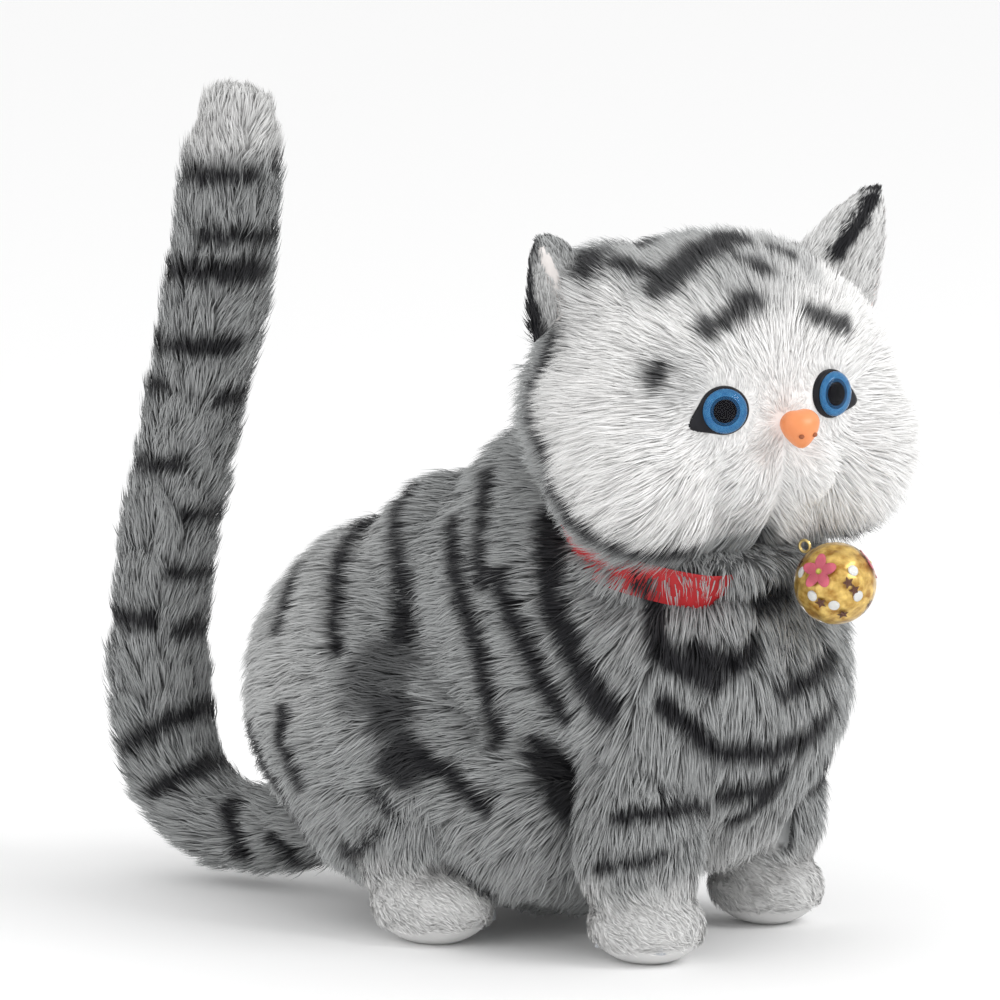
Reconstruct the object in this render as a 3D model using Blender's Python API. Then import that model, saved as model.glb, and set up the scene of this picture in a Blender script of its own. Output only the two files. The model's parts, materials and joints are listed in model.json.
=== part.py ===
"""Interactive plush pet: a standing tabby cat toy with a hard drive unit inside soft plush.

Built in millimetres and scaled to metres. +Z is up, the cat faces -Y and its right side is -X.
"""
import math

import bmesh
import bpy
from mathutils import Euler, Matrix, Vector

MM = 0.001
Y_SHIFT = -2.0           # moves the whole toy so the middle of its length is at Y = 0
GAP = 0.4                # clearance between neighbouring pieces
SLIVER = 2e-5            # metres; edges shorter than this are closed up after a cut

# plush volumes: centre, radii (all mm)
FUR = 3.0                # how far the fur tips stand outside these solids
BODY_PARTS = [
    ((0, 22, 60), (52, 48, 52)),
    ((0, -28, 78), (46, 56, 50)),
    ((0, -61, 66), (46, 41, 50)),
    ((29, 12, 46), (25, 38, 40)),
    ((-29, 12, 46), (25, 38, 40)),
    ((26, -63, 48), (20, 21, 36)),
    ((-26, -63, 48), (20, 21, 36)),
    ((0, -58, 98), (38, 33, 25)),
    ((0, -27, 92), (38, 42, 43)),
    ((0, -18, 32), (40, 50, 33)),
]
HEAD_C = Vector((-2.0, -64.0, 142.6))
HEAD_TURN = math.radians(-30.0)
HEAD_ROLL = math.radians(-4.0)
HEAD_PARTS = [
    ((0, 0, 0), (52, 45, 46)),
    ((24, -14, -13), (27, 27, 26)),
    ((-24, -14, -13), (27, 27, 26)),
    ((0, -26, -14), (20, 21, 17)),
]
EYE_X, EYE_Y, EYE_Z = 16.2, -37.0, 4.0
NOSE_P = (0.0, -46.5, -2.0)
NECK = Vector((0.0, -58.0, 0.0))
# profile of the free surface between head and body: radius from the neck axis, height
NECK_GAP = [(0.5, 100), (22, 100), (32, 104), (37, 109), (44, 114), (56, 128), (72, 150)]

LEGS = {
    "front_right": (-1, (30, -63), (15, 17, 13), (30, -61, 30), (15, 15, 30), (-60, 48)),
    "front_left": (1, (30, -63), (15, 17, 13), (30, -61, 30), (15, 15, 30), (-60, 48)),
    "hind_right": (-1, (38, -3), (14.5, 19, 12.5), (35, 4, 27), (14, 19, 25), (4, 44)),
    "hind_left": (1, (38, -3), (14.5, 19, 12.5), (35, 4, 27), (14, 19, 25), (4, 44)),
}
LEG_X = 31.0             # middle of each leg lever
FOOT_Z = 9.5             # middle of each foot above the floor
AXLE_R = 2.0

TAIL_LINE = [
    (0, 66, 17), (0, 78, 15), (0, 92, 19), (0, 103, 31), (0, 107, 49), (0, 107, 66),
    (0, 104, 92), (0, 98, 118), (0, 92, 142), (0, 87, 164), (0, 84, 188), (0, 82, 205),
]
TAIL_R = [12.0, 12.5, 13.0, 13.5, 13.5, 13.0, 13.0, 13.5, 13.5, 13.5, 13.0, 11.5]

CHASSIS_X, CHASSIS_Y0, CHASSIS_Y1 = 24.0, -70.0, 42.0
CHASSIS_Z0, CHASSIS_SPLIT, CHASSIS_Z1 = 28.0, 58.0, 86.0
WALL = 2.0
PENDANT_C = (-8.0, -105.3, 98.5)
PENDANT_R = 10.5

MATERIALS = {
    "plush_grey": ((0.42, 0.43, 0.42), 0.95, 0.0),
    "plush_white": ((0.85, 0.84, 0.82), 0.95, 0.0),
    "ear_black": ((0.05, 0.05, 0.055), 0.95, 0.0),
    "ear_pink": ((0.80, 0.55, 0.50), 0.9, 0.0),
    "shell_white": ((0.82, 0.82, 0.80), 0.45, 0.0),
    "lever_grey": ((0.50, 0.52, 0.55), 0.5, 0.0),
    "black_plastic": ((0.03, 0.03, 0.03), 0.35, 0.0),
    "eye_black": ((0.01, 0.01, 0.012), 0.15, 0.0),
    "iris_blue": ((0.05, 0.22, 0.50), 0.2, 0.0),
    "clear_lens": ((0.92, 0.95, 0.98), 0.05, 0.0),
    "nose_orange": ((0.92, 0.42, 0.18), 0.4, 0.0),
    "steel": ((0.62, 0.62, 0.64), 0.3, 1.0),
    "board_green": ((0.04, 0.25, 0.10), 0.5, 0.0),
    "cell_label": ((0.10, 0.22, 0.12), 0.4, 0.0),
    "cone_paper": ((0.07, 0.07, 0.07), 0.9, 0.0),
    "gear_nylon": ((0.86, 0.84, 0.74), 0.5, 0.0),
    "brass": ((0.78, 0.60, 0.25), 0.3, 1.0),
    "collar_red": ((0.55, 0.02, 0.03), 0.7, 0.0),
    "ball_clear": ((0.95, 0.90, 0.80), 0.08, 0.0),
    "gold_foil": ((0.85, 0.60, 0.15), 0.25, 1.0),
}


# ---------------------------------------------------------------- helpers
def clear_file():
    for obj in list(bpy.data.objects):
        bpy.data.objects.remove(obj, do_unlink=True)


def material(name):
    mat = bpy.data.materials.get(name)
    if mat is None:
        colour, rough, metal = MATERIALS[name]
        mat = bpy.data.materials.new(name)
        mat.use_nodes = True
        shader = mat.node_tree.nodes["Principled BSDF"]
        shader.inputs["Base Color"].default_value = (*colour, 1.0)
        shader.inputs["Roughness"].default_value = rough
        shader.inputs["Metallic"].default_value = metal
    return mat


def raw_object(name, bm):
    mesh = bpy.data.meshes.new(name)
    bm.to_mesh(mesh)
    bm.free()
    obj = bpy.data.objects.new(name, mesh)
    bpy.context.scene.collection.objects.link(obj)
    return obj


def finish(obj, mat, origin=None, smooth=True):
    """Give a piece its material, smooth shading and an origin (mm), and shift it into place."""
    mesh = obj.data
    mesh.materials.clear()
    mesh.materials.append(material(mat))
    for poly in mesh.polygons:
        poly.use_smooth = smooth
    mesh.transform(Matrix.Translation((0, Y_SHIFT * MM, 0)))
    if origin is not None:
        point = Vector((origin[0], origin[1] + Y_SHIFT, origin[2])) * MM
        mesh.transform(Matrix.Translation(-point))
        obj.location = point
    return obj


def bake(obj):
    """Replace the mesh by its evaluated form and drop the modifiers."""
    graph = bpy.context.evaluated_depsgraph_get()
    graph.update()
    mesh = bpy.data.meshes.new_from_object(obj.evaluated_get(graph))
    obj.modifiers.clear()
    old = obj.data
    obj.data = mesh
    bpy.data.meshes.remove(old)


def boolean(obj, cutters, operation="DIFFERENCE"):
    for cutter in cutters:
        mod = obj.modifiers.new("cut", "BOOLEAN")
        mod.operation = operation
        mod.solver = "EXACT"
        mod.object = cutter
        bake(obj)
        bpy.data.objects.remove(cutter, do_unlink=True)
        tidy(obj)
    return obj


def tidy(obj):
    """Merge the hair-thin slivers a cut can leave and split faces into triangles."""
    bm = bmesh.new()
    bm.from_mesh(obj.data)
    bmesh.ops.triangulate(bm, faces=bm.faces[:])
    bmesh.ops.remove_doubles(bm, verts=bm.verts[:], dist=SLIVER)
    bmesh.ops.dissolve_degenerate(bm, dist=SLIVER, edges=bm.edges[:])
    bmesh.ops.triangulate(bm, faces=bm.faces[:])
    bm.to_mesh(obj.data)
    bm.free()


def place(rot=(0, 0, 0), at=(0, 0, 0)):
    angles = [math.radians(a) for a in rot]
    return Matrix.Translation(Vector(at) * MM) @ Euler(angles).to_matrix().to_4x4()


def ball_bm(centre, radii, seg=24, grow=0.0, bm=None, frame=Matrix.Identity(4)):
    bm = bm or bmesh.new()
    size = [(r + grow) * MM for r in radii]
    mat = frame @ Matrix.Translation(Vector(centre) * MM) @ Matrix.Diagonal((*size, 1.0))
    bmesh.ops.create_uvsphere(bm, u_segments=seg, v_segments=seg // 2, radius=1.0, matrix=mat)
    return bm


def box(name, low, high, bevel=0.0, segments=2):
    bm = bmesh.new()
    size = [(b - a) * MM for a, b in zip(low, high)]
    mid = [(a + b) * 0.5 * MM for a, b in zip(low, high)]
    bmesh.ops.create_cube(bm, size=1.0, matrix=Matrix.Translation(mid) @ Matrix.Diagonal((*size, 1.0)))
    if bevel:
        bmesh.ops.bevel(bm, geom=bm.edges[:], offset=bevel * MM, segments=segments, affect="EDGES",
                        profile=0.5, clamp_overlap=True)
    return raw_object(name, bm)


def lathe(name, profile, seg=32, frame=Matrix.Identity(4), squash=(1.0, 1.0)):
    """Closed solid of revolution about Z; the profile runs from the axis round to the axis, or
    closes on itself when no point is on the axis. Points are (radius, height)."""
    bm = bmesh.new()
    rings = []
    for r, z in profile:
        if r < 1e-6:
            rings.append([bm.verts.new((0, 0, z * MM))])
        else:
            rings.append([
                bm.verts.new((r * MM * squash[0] * math.cos(2 * math.pi * k / seg),
                              r * MM * squash[1] * math.sin(2 * math.pi * k / seg), z * MM))
                for k in range(seg)
            ])
    pairs = list(zip(rings, rings[1:]))
    if len(rings[0]) > 1:
        pairs.append((rings[-1], rings[0]))
    for a, b in pairs:
        for k in range(seg):
            n = (k + 1) % seg
            if len(a) == 1 and len(b) == 1:
                continue
            if len(a) == 1:
                bm.faces.new((a[0], b[k], b[n]))
            elif len(b) == 1:
                bm.faces.new((a[k], b[0], a[n]))
            else:
                bm.faces.new((a[k], b[k], b[n], a[n]))
    bmesh.ops.recalc_face_normals(bm, faces=bm.faces[:])
    bm.transform(frame)
    return raw_object(name, bm)


def rod(name, start, end, radius, seg=20):
    a, b = Vector(start), Vector(end)
    turn = (b - a).to_track_quat("Z", "Y").to_matrix().to_4x4()
    length = (b - a).length
    return lathe(name, [(0, 0), (radius, 0), (radius, length), (0, length)], seg,
                 Matrix.Translation(a * MM) @ turn)


def tube(name, points, radii, seg=14, bm=None):
    """Closed sweep along a path that stays in a plane of constant X."""
    rings = []
    bm = bmesh.new()
    count = len(points)
    for i, (p, r) in enumerate(zip(points, radii)):
        ahead = Vector(points[min(i + 1, count - 1)]) - Vector(points[max(i - 1, 0)])
        ahead.normalize()
        side = Vector((1, 0, 0))
        up = ahead.cross(side).normalized()
        rings.append([
            bm.verts.new((Vector(p) + (side * math.cos(t) + up * math.sin(t)) * r) * MM)
            for t in (2 * math.pi * k / seg for k in range(seg))
        ])
    for a, b in zip(rings, rings[1:]):
        for k in range(seg):
            n = (k + 1) % seg
            bm.faces.new((a[k], b[k], b[n], a[n]))
    bm.faces.new(rings[0])
    bm.faces.new(rings[-1])
    bmesh.ops.recalc_face_normals(bm, faces=bm.faces[:])
    return raw_object(name, bm)


def fine_path(points, radii, steps=3):
    """Catmull-Rom refinement of a path and its radii."""
    out_p, out_r = [], []
    n = len(points)
    for i in range(n - 1):
        p = [Vector(points[max(min(j, n - 1), 0)]) for j in (i - 1, i, i + 1, i + 2)]
        q = [radii[max(min(j, n - 1), 0)] for j in (i - 1, i, i + 1, i + 2)]
        for s in range(steps):
            t = s / steps
            w = (-0.5 * t ** 3 + t ** 2 - 0.5 * t, 1.5 * t ** 3 - 2.5 * t ** 2 + 1,
                 -1.5 * t ** 3 + 2 * t ** 2 + 0.5 * t, 0.5 * t ** 3 - 0.5 * t ** 2)
            out_p.append(sum((v * k for v, k in zip(p, w)), Vector()))
            out_r.append(sum(v * k for v, k in zip(q, w)))
    return out_p + [Vector(points[-1])], out_r + [radii[-1]]


def soft_union(name, parts, grow, voxel, smooth, frame=Matrix.Identity(4)):
    """One smooth closed solid round a set of ellipsoids."""
    bm = bmesh.new()
    for centre, radii in parts:
        ball_bm(centre, radii, 40, grow, bm, frame)
    obj = raw_object(name, bm)
    mod = obj.modifiers.new("skin", "REMESH")
    mod.mode = "VOXEL"
    mod.voxel_size = voxel * MM
    soft = obj.modifiers.new("soft", "SMOOTH")
    soft.factor = 0.5
    soft.iterations = smooth
    bake(obj)
    return obj


def gear(name, teeth, module, width, centre, phase, bore=0.0, backlash=0.35):
    """Spur gear about an axis along X, with straight-sided teeth."""
    pitch = teeth * module / 2
    outer, root = pitch + 0.9 * module, pitch - 1.15 * module
    step = 2 * math.pi / teeth
    outline = []
    for k in range(teeth):
        base = phase + k * step
        half = step / 4 - backlash / (2 * pitch)
        for r, a in ((root, -half * 1.45), (pitch, -half), (outer, -half * 0.45),
                     (outer, half * 0.45), (pitch, half), (root, half * 1.45)):
            outline.append((r * math.cos(base + a), r * math.sin(base + a)))
    bm = bmesh.new()
    ends = [[bm.verts.new(((centre[0] + x) * MM, (centre[1] + a) * MM, (centre[2] + b) * MM))
             for a, b in outline] for x in (0, width)]
    n = len(outline)
    for k in range(n):
        m = (k + 1) % n
        bm.faces.new((ends[0][k], ends[0][m], ends[1][m], ends[1][k]))
    bm.faces.new(ends[0])
    bm.faces.new(ends[1])
    bmesh.ops.recalc_face_normals(bm, faces=bm.faces[:])
    obj = raw_object(name, bm)
    if bore:
        cut = rod("bore", (centre[0] - 1, centre[1], centre[2]), (centre[0] + width + 1, centre[1], centre[2]),
                  bore, 16)
        boolean(obj, [cut])
    return obj


# ---------------------------------------------------------------- head frame
HEAD_FRAME = (Matrix.Translation(HEAD_C * MM) @ Matrix.Rotation(HEAD_TURN, 4, "Z")
              @ Matrix.Rotation(HEAD_ROLL, 4, "Y"))


def head_point(p):
    return HEAD_FRAME @ (Vector(p) * MM)


def facing(p, outward):
    """Frame at a head point (mm) whose +Z looks along outward (head axes), with +Y kept upright."""
    z = Vector(outward).normalized()
    x = Vector((0, 0, 1)).cross(z).normalized()
    y = z.cross(x)
    rot = Matrix((x, y, z)).transposed().to_4x4()
    return HEAD_FRAME @ Matrix.Translation(Vector(p) * MM) @ rot


def neck_lathe(name, offset, above):
    """Volume above (or below) the free surface between head and body."""
    line = [(r, z + offset) for r, z in NECK_GAP]
    line[0] = (0, line[0][1])
    if above:
        profile = line + [(72, 260), (0, 260)]
    else:
        profile = [(0, 40), (72, 40)] + line[::-1]
    return lathe(name, profile, 40, Matrix.Translation(NECK * MM))


# ---------------------------------------------------------------- drive unit
def chassis():
    pieces = []
    inner_x, y0, y1 = CHASSIS_X - WALL, CHASSIS_Y0 + WALL, CHASSIS_Y1 - WALL
    low = box("chassis_lower", (-CHASSIS_X, CHASSIS_Y0, CHASSIS_Z0),
              (CHASSIS_X, CHASSIS_Y1, CHASSIS_SPLIT + 12), 4.0, 3)
    cuts = [
        box("c", (-60, -120, CHASSIS_SPLIT - 0.15), (60, 120, 120)),
        box("c", (-inner_x, y0, CHASSIS_Z0 + WALL), (inner_x, y1, 110)),
        box("c", (-18.5, -53.5, 20), (18.5, 3.5, 34)),
        box("c", (-3.4, 10.0, 20), (3.4, 13.0, 34)),
        rod("c", (-40, -60, 48), (40, -60, 48), AXLE_R + 0.3),
        rod("c", (-40, 4, 44), (40, 4, 44), AXLE_R + 0.3),
    ]
    pieces.append(finish(boolean(low, cuts), "shell_white", smooth=False))
    top = box("chassis_upper", (-CHASSIS_X, CHASSIS_Y0, CHASSIS_SPLIT - 12),
              (CHASSIS_X, CHASSIS_Y1, CHASSIS_Z1), 4.0, 3)
    cuts = [
        box("c", (-60, -120, 10), (60, 120, CHASSIS_SPLIT + 0.15)),
        box("c", (-inner_x, y0, 10), (inner_x, y1, CHASSIS_Z1 - WALL)),
        rod("c", (0, 0, 80), (0, 0, 95), 6.4, 28),
        rod("c", (0, 43, 62), (0, 35, 62), 2.4),
    ]
    pieces.append(finish(boolean(top, cuts), "shell_white", smooth=False))
    return pieces


def screws():
    for name, x, y in (("chassis_screw_front", 0, -70.3), ("chassis_screw_rear", 0, 42.3)):
        out = 1 if y > 0 else -1
        frame = place((-90 * out, 0, 0), (x, y, 52))
        finish(lathe(name, [(0, 0), (2.6, 0), (2.6, 1.6), (0, 1.6)][::1], 20, frame), "steel")


def battery():
    case = box("battery_box", (-18.2, -53.0, 30.4), (18.2, -4.6, 44.5))
    boolean(case, [box("c", (-17.0, -51.8, 20), (17.0, -5.8, 43.3))])
    finish(case, "black_plastic", smooth=False)
    for k, x in enumerate((-11.2, 0.0, 11.2)):
        flip = 1 if k % 2 == 0 else -1
        y = -28.9 - flip * 21.5
        frame = place((-90 * flip, 0, 0), (x, y, 36.5))
        finish(lathe("cell_%d" % (k + 1), [(0, 0), (5.2, 0), (5.2, 41.6), (1.9, 41.6), (1.9, 43.0), (0, 43.0)],
                     24, frame), "cell_label")
    door = box("battery_door", (-18.1, -53.1, CHASSIS_Z0 + 0.1), (18.1, 3.1, CHASSIS_Z0 + 1.9))
    boolean(door, [rod("c", (0, 0, 20), (0, 0, 40), 1.5, 16)])
    finish(door, "shell_white", smooth=False)
    finish(lathe("battery_door_screw", [(0, 0), (2.4, 0), (2.4, 1.3), (1.1, 1.3), (1.1, 7), (0, 7)], 20,
                 place(at=(0, 0, 26.4))), "steel")


def electronics():
    board = box("circuit_board", (-19, 12, 60.5), (19, 38.5, 62.1))
    finish(board, "board_green", smooth=False)
    finish(box("sound_chip", (-6, 20, 62.3), (6, 30, 64.3)), "black_plastic", smooth=False)
    frame = place(at=(0, 28.4, 30.4))
    finish(lathe("speaker_frame", [(10.8, 0), (10.8, 2), (7, 6.5), (5, 6.5), (5, 9), (0, 9), (0, 8), (4, 8),
                                   (4, 5.5), (6.2, 5.5), (9.8, 1.5), (9.8, 0)][::-1], 28, frame), "steel")
    finish(lathe("speaker_cone", [(0, 1.2), (2.5, 1.9), (9.2, 0.3), (9.2, 0.9), (2.6, 3.2), (0, 2.5)], 28,
                 frame), "cone_paper")
    finish(box("switch_housing", (-5, 8, 30.4), (5, 15.0, 35)), "black_plastic", smooth=False)
    lever = box("switch_lever", (0.2, 10.3, 25.4), (2.8, 12.7, 30.1), 0.3, 1)
    finish(lever, "black_plastic", (1.5, 11.5, 28), False)
    button = lathe("touch_button", [(0, 81.5), (7.6, 81.5), (7.6, 83.4), (6.0, 83.4), (6.0, 87.6), (0, 88.2)], 28)
    finish(button, "lever_grey", (0, 0, 86))


MOTOR_AT = (-38.0, 66.0)
CRANK_AT = (-18.0, 66.0)


def drive():
    y, z = MOTOR_AT
    can = lathe("motor", [(0, 0), (9.3, 0), (9.3, 22), (3.0, 22), (3.0, 23.5), (1.0, 23.5), (1.0, 27.0), (0, 27.0)],
                28, place((0, 90, 0), (-20.5, y, z)))
    finish(can, "steel")
    pinion = gear("motor_pinion", 10, 0.8, 6.0, (7.2, y, z), math.pi / 10)
    finish(pinion, "brass", (10, y, z), False)
    cy, cz = CRANK_AT
    wheel = gear("crank_gear", 40, 0.8, 4.0, (8.2, cy, cz), 0.0)
    parts = [
        rod("u", (-19.0, cy, cz), (20.5, cy, cz), 2.2, 18),
        rod("u", (11.8, cy, cz + 9), (16.5, cy, cz + 9), 1.8, 14),
        rod("u", (-18.0, cy, cz), (-14.5, cy, cz), 8.6, 24),
        rod("u", (-21.0, cy, cz - 6), (-17.0, cy, cz - 6), 1.8, 14),
    ]
    boolean(wheel, parts, "UNION")
    finish(wheel, "gear_nylon", (0, cy, cz), False)
    finish(rod("axle_front", (-37.5, -60, 48), (37.5, -60, 48), AXLE_R), "steel")
    finish(rod("axle_rear", (-37.5, 4, 44), (37.5, 4, 44), AXLE_R), "steel")


# ---------------------------------------------------------------- legs
def legs():
    cutters = []
    for name, (side, foot, foot_r, col, col_r, (hy, hz)) in LEGS.items():
        fx, fy = foot[0] * side, foot[1]
        lever_x = LEG_X * side
        core = rod("leg_core_" + name, (lever_x - 2.5, hy, hz), (lever_x + 2.5, hy, hz), 6.5, 24)
        boolean(core, [
            box("u", (lever_x - 2.2, hy - 4.5, 5), (lever_x + 2.2, hy + 4.5, hz)),
            box("u", (lever_x - 8, fy - 10, 4), (lever_x + 8, fy + 10, 7), 0.0),
        ], "UNION")
        boolean(core, [rod("c", (lever_x - 9, hy, hz), (lever_x + 9, hy, hz), AXLE_R + 0.08, 20)])
        finish(core, "lever_grey", (lever_x, hy, hz), False)

        plush = soft_union("leg_plush_" + name,
                           [((fx, fy, FOOT_Z), foot_r), ((col[0] * side, col[1], col[2]), col_r)], -1.0, 5.5, 1)
        room = box("c", (lever_x - 2.2 - GAP, hy - 4.5 - GAP, 4.5), (lever_x + 2.2 + GAP, hy + 4.5 + GAP, 90))
        boolean(room, [
            box("u", (lever_x - 8 - GAP, fy - 10 - GAP, 3.6), (lever_x + 8 + GAP, fy + 10 + GAP, 7.4)),
            rod("u", (lever_x - 3.13, hy, hz), (lever_x + 3.13, hy, hz), 7.03, 24),
            rod("u", (lever_x - 31.7, hy, hz), (lever_x + 31.7, hy, hz), 3.21, 18),
        ], "UNION")
        boolean(plush, [
            box("c", (fx - 60, fy - 60, -40), (fx + 60, fy + 60, 0.0)),
            box("c", (-CHASSIS_X - 1.53, -91, -50), (CHASSIS_X + 1.53, 61, 95)),
            box("c", (lever_x - 51, hy - 51, hz + 4.1), (lever_x + 51, hy + 51, 121)),
            room,
        ])
        finish(plush, "plush_white", (lever_x, hy, hz))

        # room for the leg to swing inside the body
        bm = bmesh.new()
        ball_bm((fx, fy, FOOT_Z), (foot_r[0] + 1.0, foot_r[1] + 7.0, foot_r[2] + 2.5), 18, 0, bm)
        obj = raw_object("c", bm)
        bm = bmesh.new()
        ball_bm((col[0] * side, col[1], col[2]), (col_r[0] + 1.0, col_r[1] + 6.0, col_r[2] + 5.0), 18, 0, bm)
        boolean(obj, [raw_object("u", bm)], "UNION")
        cutters.append(obj)
    return cutters


# ---------------------------------------------------------------- collar frame
COLLAR_FRAME = place((12, 0, 0), (0, -58, 102))


def body_plush(leg_cutters):
    body = soft_union("body_plush", BODY_PARTS, -FUR, 9.5, 4)
    cuts = [
        box("c", (-CHASSIS_X - 1, CHASSIS_Y0 - 4.5, CHASSIS_Z0 - 1.5),
            (CHASSIS_X + 1, CHASSIS_Y1 + 4.8, CHASSIS_Z1 + 4)),
        box("c", (-21, -56, -10), (21, 17, 40)),
        neck_lathe("c", -0.8, True),
        rod("c", (0, -58, 80), (0, -58, 130), 14.5, 28),
        lathe("c", [(37.6, -4.0), (40.4, -4.0), (40.4, 4.0), (37.6, 4.0)], 40, COLLAR_FRAME, (1.0, 0.89)),
        rod("c", (0, 46, 17), (0, 120, 17), 14.2, 28),
        rod("c", (-37.9, -60, 48), (37.9, -60, 48), AXLE_R + 0.6),
        rod("c", (-37.9, 4, 44), (37.9, 4, 44), AXLE_R + 0.6),
    ]
    boolean(body, cuts + leg_cutters)
    finish(body, "plush_grey")


def collar():
    band = lathe("collar_band", [(38.0, -3.3), (39.2, -3.3), (39.2, 3.3), (38.0, 3.3)], 40, COLLAR_FRAME,
                 (1.0, 0.89))
    finish(band, "collar_red")
    x, y, z = PENDANT_C
    finish(box("collar_tab", (x - 2, -94.3, 94), (x + 2, -93.3, 108.4)), "collar_red", smooth=False)
    hang = (x, y + 9.0, z + 8.8)
    loop = Matrix.Translation(Vector(hang) * MM) @ Matrix.Rotation(math.pi / 2, 4, "Y")
    ring = lathe("pendant_ring", [(1.5 + 0.4 * math.cos(t), 0.4 * math.sin(t))
                                  for t in (2 * math.pi * k / 8 for k in range(8))], 16, loop)
    finish(ring, "brass", hang)
    shell = lathe("pendant_shell", [(0, -10.5)] + [(10.5 * math.cos(t), 10.5 * math.sin(t)) for t in
                                                  (math.radians(a) for a in range(-72, 75, 18))] + [(0, 10.5)],
                  20, place(at=PENDANT_C))
    inner = raw_object("c", ball_bm(PENDANT_C, (9.2, 9.2, 9.2), 18))
    port = rod("c", (x, y, z), (x, y, z - 14), 1.6, 12)
    boolean(shell, [inner, port])
    finish(shell, "ball_clear", hang)
    core = raw_object("pendant_core", ball_bm(PENDANT_C, (8.6, 8.6, 8.6), 16))
    finish(core, "gold_foil", hang)


# ---------------------------------------------------------------- head
def eye_frame(side):
    return facing((side * EYE_X, EYE_Y, EYE_Z), (side * 0.34, -1.0, 0.04))


def head():
    pivot = (NECK.x, NECK.y, 108)
    finish(lathe("neck_post", [(4, 86.4), (13, 86.4), (13, 88.6), (8, 88.6), (8, 112.4), (4, 112.4)], 28,
                 Matrix.Translation(NECK * MM)), "shell_white")
    finish(lathe("neck_cap", [(0, 112.8), (11.5, 112.8), (11.5, 115.2), (0, 115.2)], 28,
                 Matrix.Translation(NECK * MM)), "lever_grey")

    frame = HEAD_FRAME
    shells = []
    for name, low, high in (("head_shell_front", -80, -0.2), ("head_shell_rear", 0.2, 80)):
        shell = raw_object(name, ball_bm((0, 0, 0), (37, 30, 32), 20, 0, None, frame))
        cutter = raw_object("c", ball_bm((0, 0, 0), (35, 28, 30), 20, 0, None, frame))
        if name.endswith("front"):
            half = box("c", (-80, high, -80), (80, 80, 80))
        else:
            half = box("c", (-80, -80, -80), (80, low, 80))
        half.data.transform(frame)
        hole = rod("c", (NECK.x, NECK.y, 80), (NECK.x, NECK.y, 120), 13.0, 24)
        boolean(shell, [cutter, half, hole])
        finish(shell, "shell_white", pivot)
        shells.append(shell)

    plush = soft_union("head_plush", HEAD_PARTS, -FUR, 8.0, 3, frame)
    cuts = [
        raw_object("c", ball_bm((0, 0, 0), (38.2, 31.2, 33.2), 20, 0, None, frame)),
        neck_lathe("c", 0.8, False),
        rod("c", (NECK.x, NECK.y, 80), (NECK.x, NECK.y, 120), 20, 28),
    ]
    for side in (-1, 1):
        cuts.append(lathe("c", [(0, -9.0), (8.0, -4.6), (9.0, 0), (9.0, 14), (0, 14)], 28, eye_frame(side)))
        cuts.append(lathe("c", [(0, -12), (2.4, -12), (2.4, 2), (0, 2)], 16, eye_frame(side)))
        slot = box("c", (-16.6, -2.1, -11), (16.6, 4.1, 40))
        slot.data.transform(ear_frame(side))
        cuts.append(slot)
    nose = facing(NOSE_P, (0, -1, 0))
    cuts.append(raw_object("c", ball_bm((0, 0, 0), (6.4, 5.5, 5.0), 20, 0, None, nose)))
    cuts.append(lathe("c", [(0, -22), (1.9, -22), (1.9, 12), (0, 12)], 16, nose))
    boolean(plush, cuts)
    finish(plush, "plush_white", pivot)

    for side, label in ((-1, "right"), (1, "left")):
        frame = eye_frame(side)
        cup = lathe("eye_rim_" + label, [(0, -8.7), (2.0, -8.7), (2.0, -7.4), (7.4, -4.2), (8.4, 0), (7.6, 1.0),
                                         (6.9, -0.5), (6.6, -2.6), (0, -2.6)], 28, frame)
        finish(cup, "eye_black", pivot)
        finish(lathe("eye_iris_" + label, [(0, -2.3), (6.2, -2.3), (6.2, -1.0), (0, -1.0)], 28, frame),
               "iris_blue", pivot)
        finish(lathe("eye_lens_" + label, [(0, -0.7), (6.3, -0.7), (6.3, 0.2), (5.0, 1.9), (2.7, 3.0), (0, 3.4)],
                     28, frame), "clear_lens", pivot)
    tip = lathe("nose", [(0, -15.4), (1.5, -15.4), (1.5, -3.4), (4.4, -2.8), (5.9, 0), (5.0, 2.4), (2.8, 3.9),
                         (0, 4.3)], 24, nose, (1.0, 0.82))
    finish(tip, "nose_orange", pivot)

    for side, label in ((-1, "right"), (1, "left")):
        ear(side, label, pivot)


def ear_frame(side):
    lean = 32 if side > 0 else 30
    return (HEAD_FRAME @ Matrix.Translation(Vector((side * 38.0, 2.0, 32.0)) * MM)
            @ Matrix.Rotation(math.radians(side * lean), 4, "Y") @ Matrix.Rotation(math.radians(-side * 14), 4, "Z"))


def ear(side, label, pivot):
    """Flat padded ear standing in a slot of the head; the right one is folded shorter."""
    frame = ear_frame(side)
    tall = 23.0 if side > 0 else 17.0
    outline = [(-14.5, -10), (-15.5, 2), (-12.5, 10), (-6.5, tall - 5), (-1.5, tall), (2.5, tall - 2),
               (8.5, tall - 10), (13.5, 3), (14.0, -10)]
    for name, depth, inset, mat in (("ear_", (0.2, 3.6), 0.0, "plush_grey"),
                                    ("ear_liner_", (-1.6, -0.2), 2.2, "ear_pink")):
        bm = bmesh.new()
        rings = []
        for y in depth:
            rings.append([bm.verts.new((x * (1 - inset / 15) * side * MM, y * MM, (z - (inset if z > 0 else -inset)) * MM))
                          for x, z in outline])
        n = len(outline)
        for k in range(n):
            m = (k + 1) % n
            bm.faces.new((rings[0][k], rings[0][m], rings[1][m], rings[1][k]))
        bm.faces.new(rings[0])
        bm.faces.new(rings[1])
        bmesh.ops.recalc_face_normals(bm, faces=bm.faces[:])
        bm.transform(frame)
        obj = raw_object(name + label, bm)
        clear = raw_object("c", ball_bm((0, 0, 0), (38.4, 31.4, 33.4), 20, 0, None, HEAD_FRAME))
        boolean(obj, [clear])
        finish(obj, mat, pivot)


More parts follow.
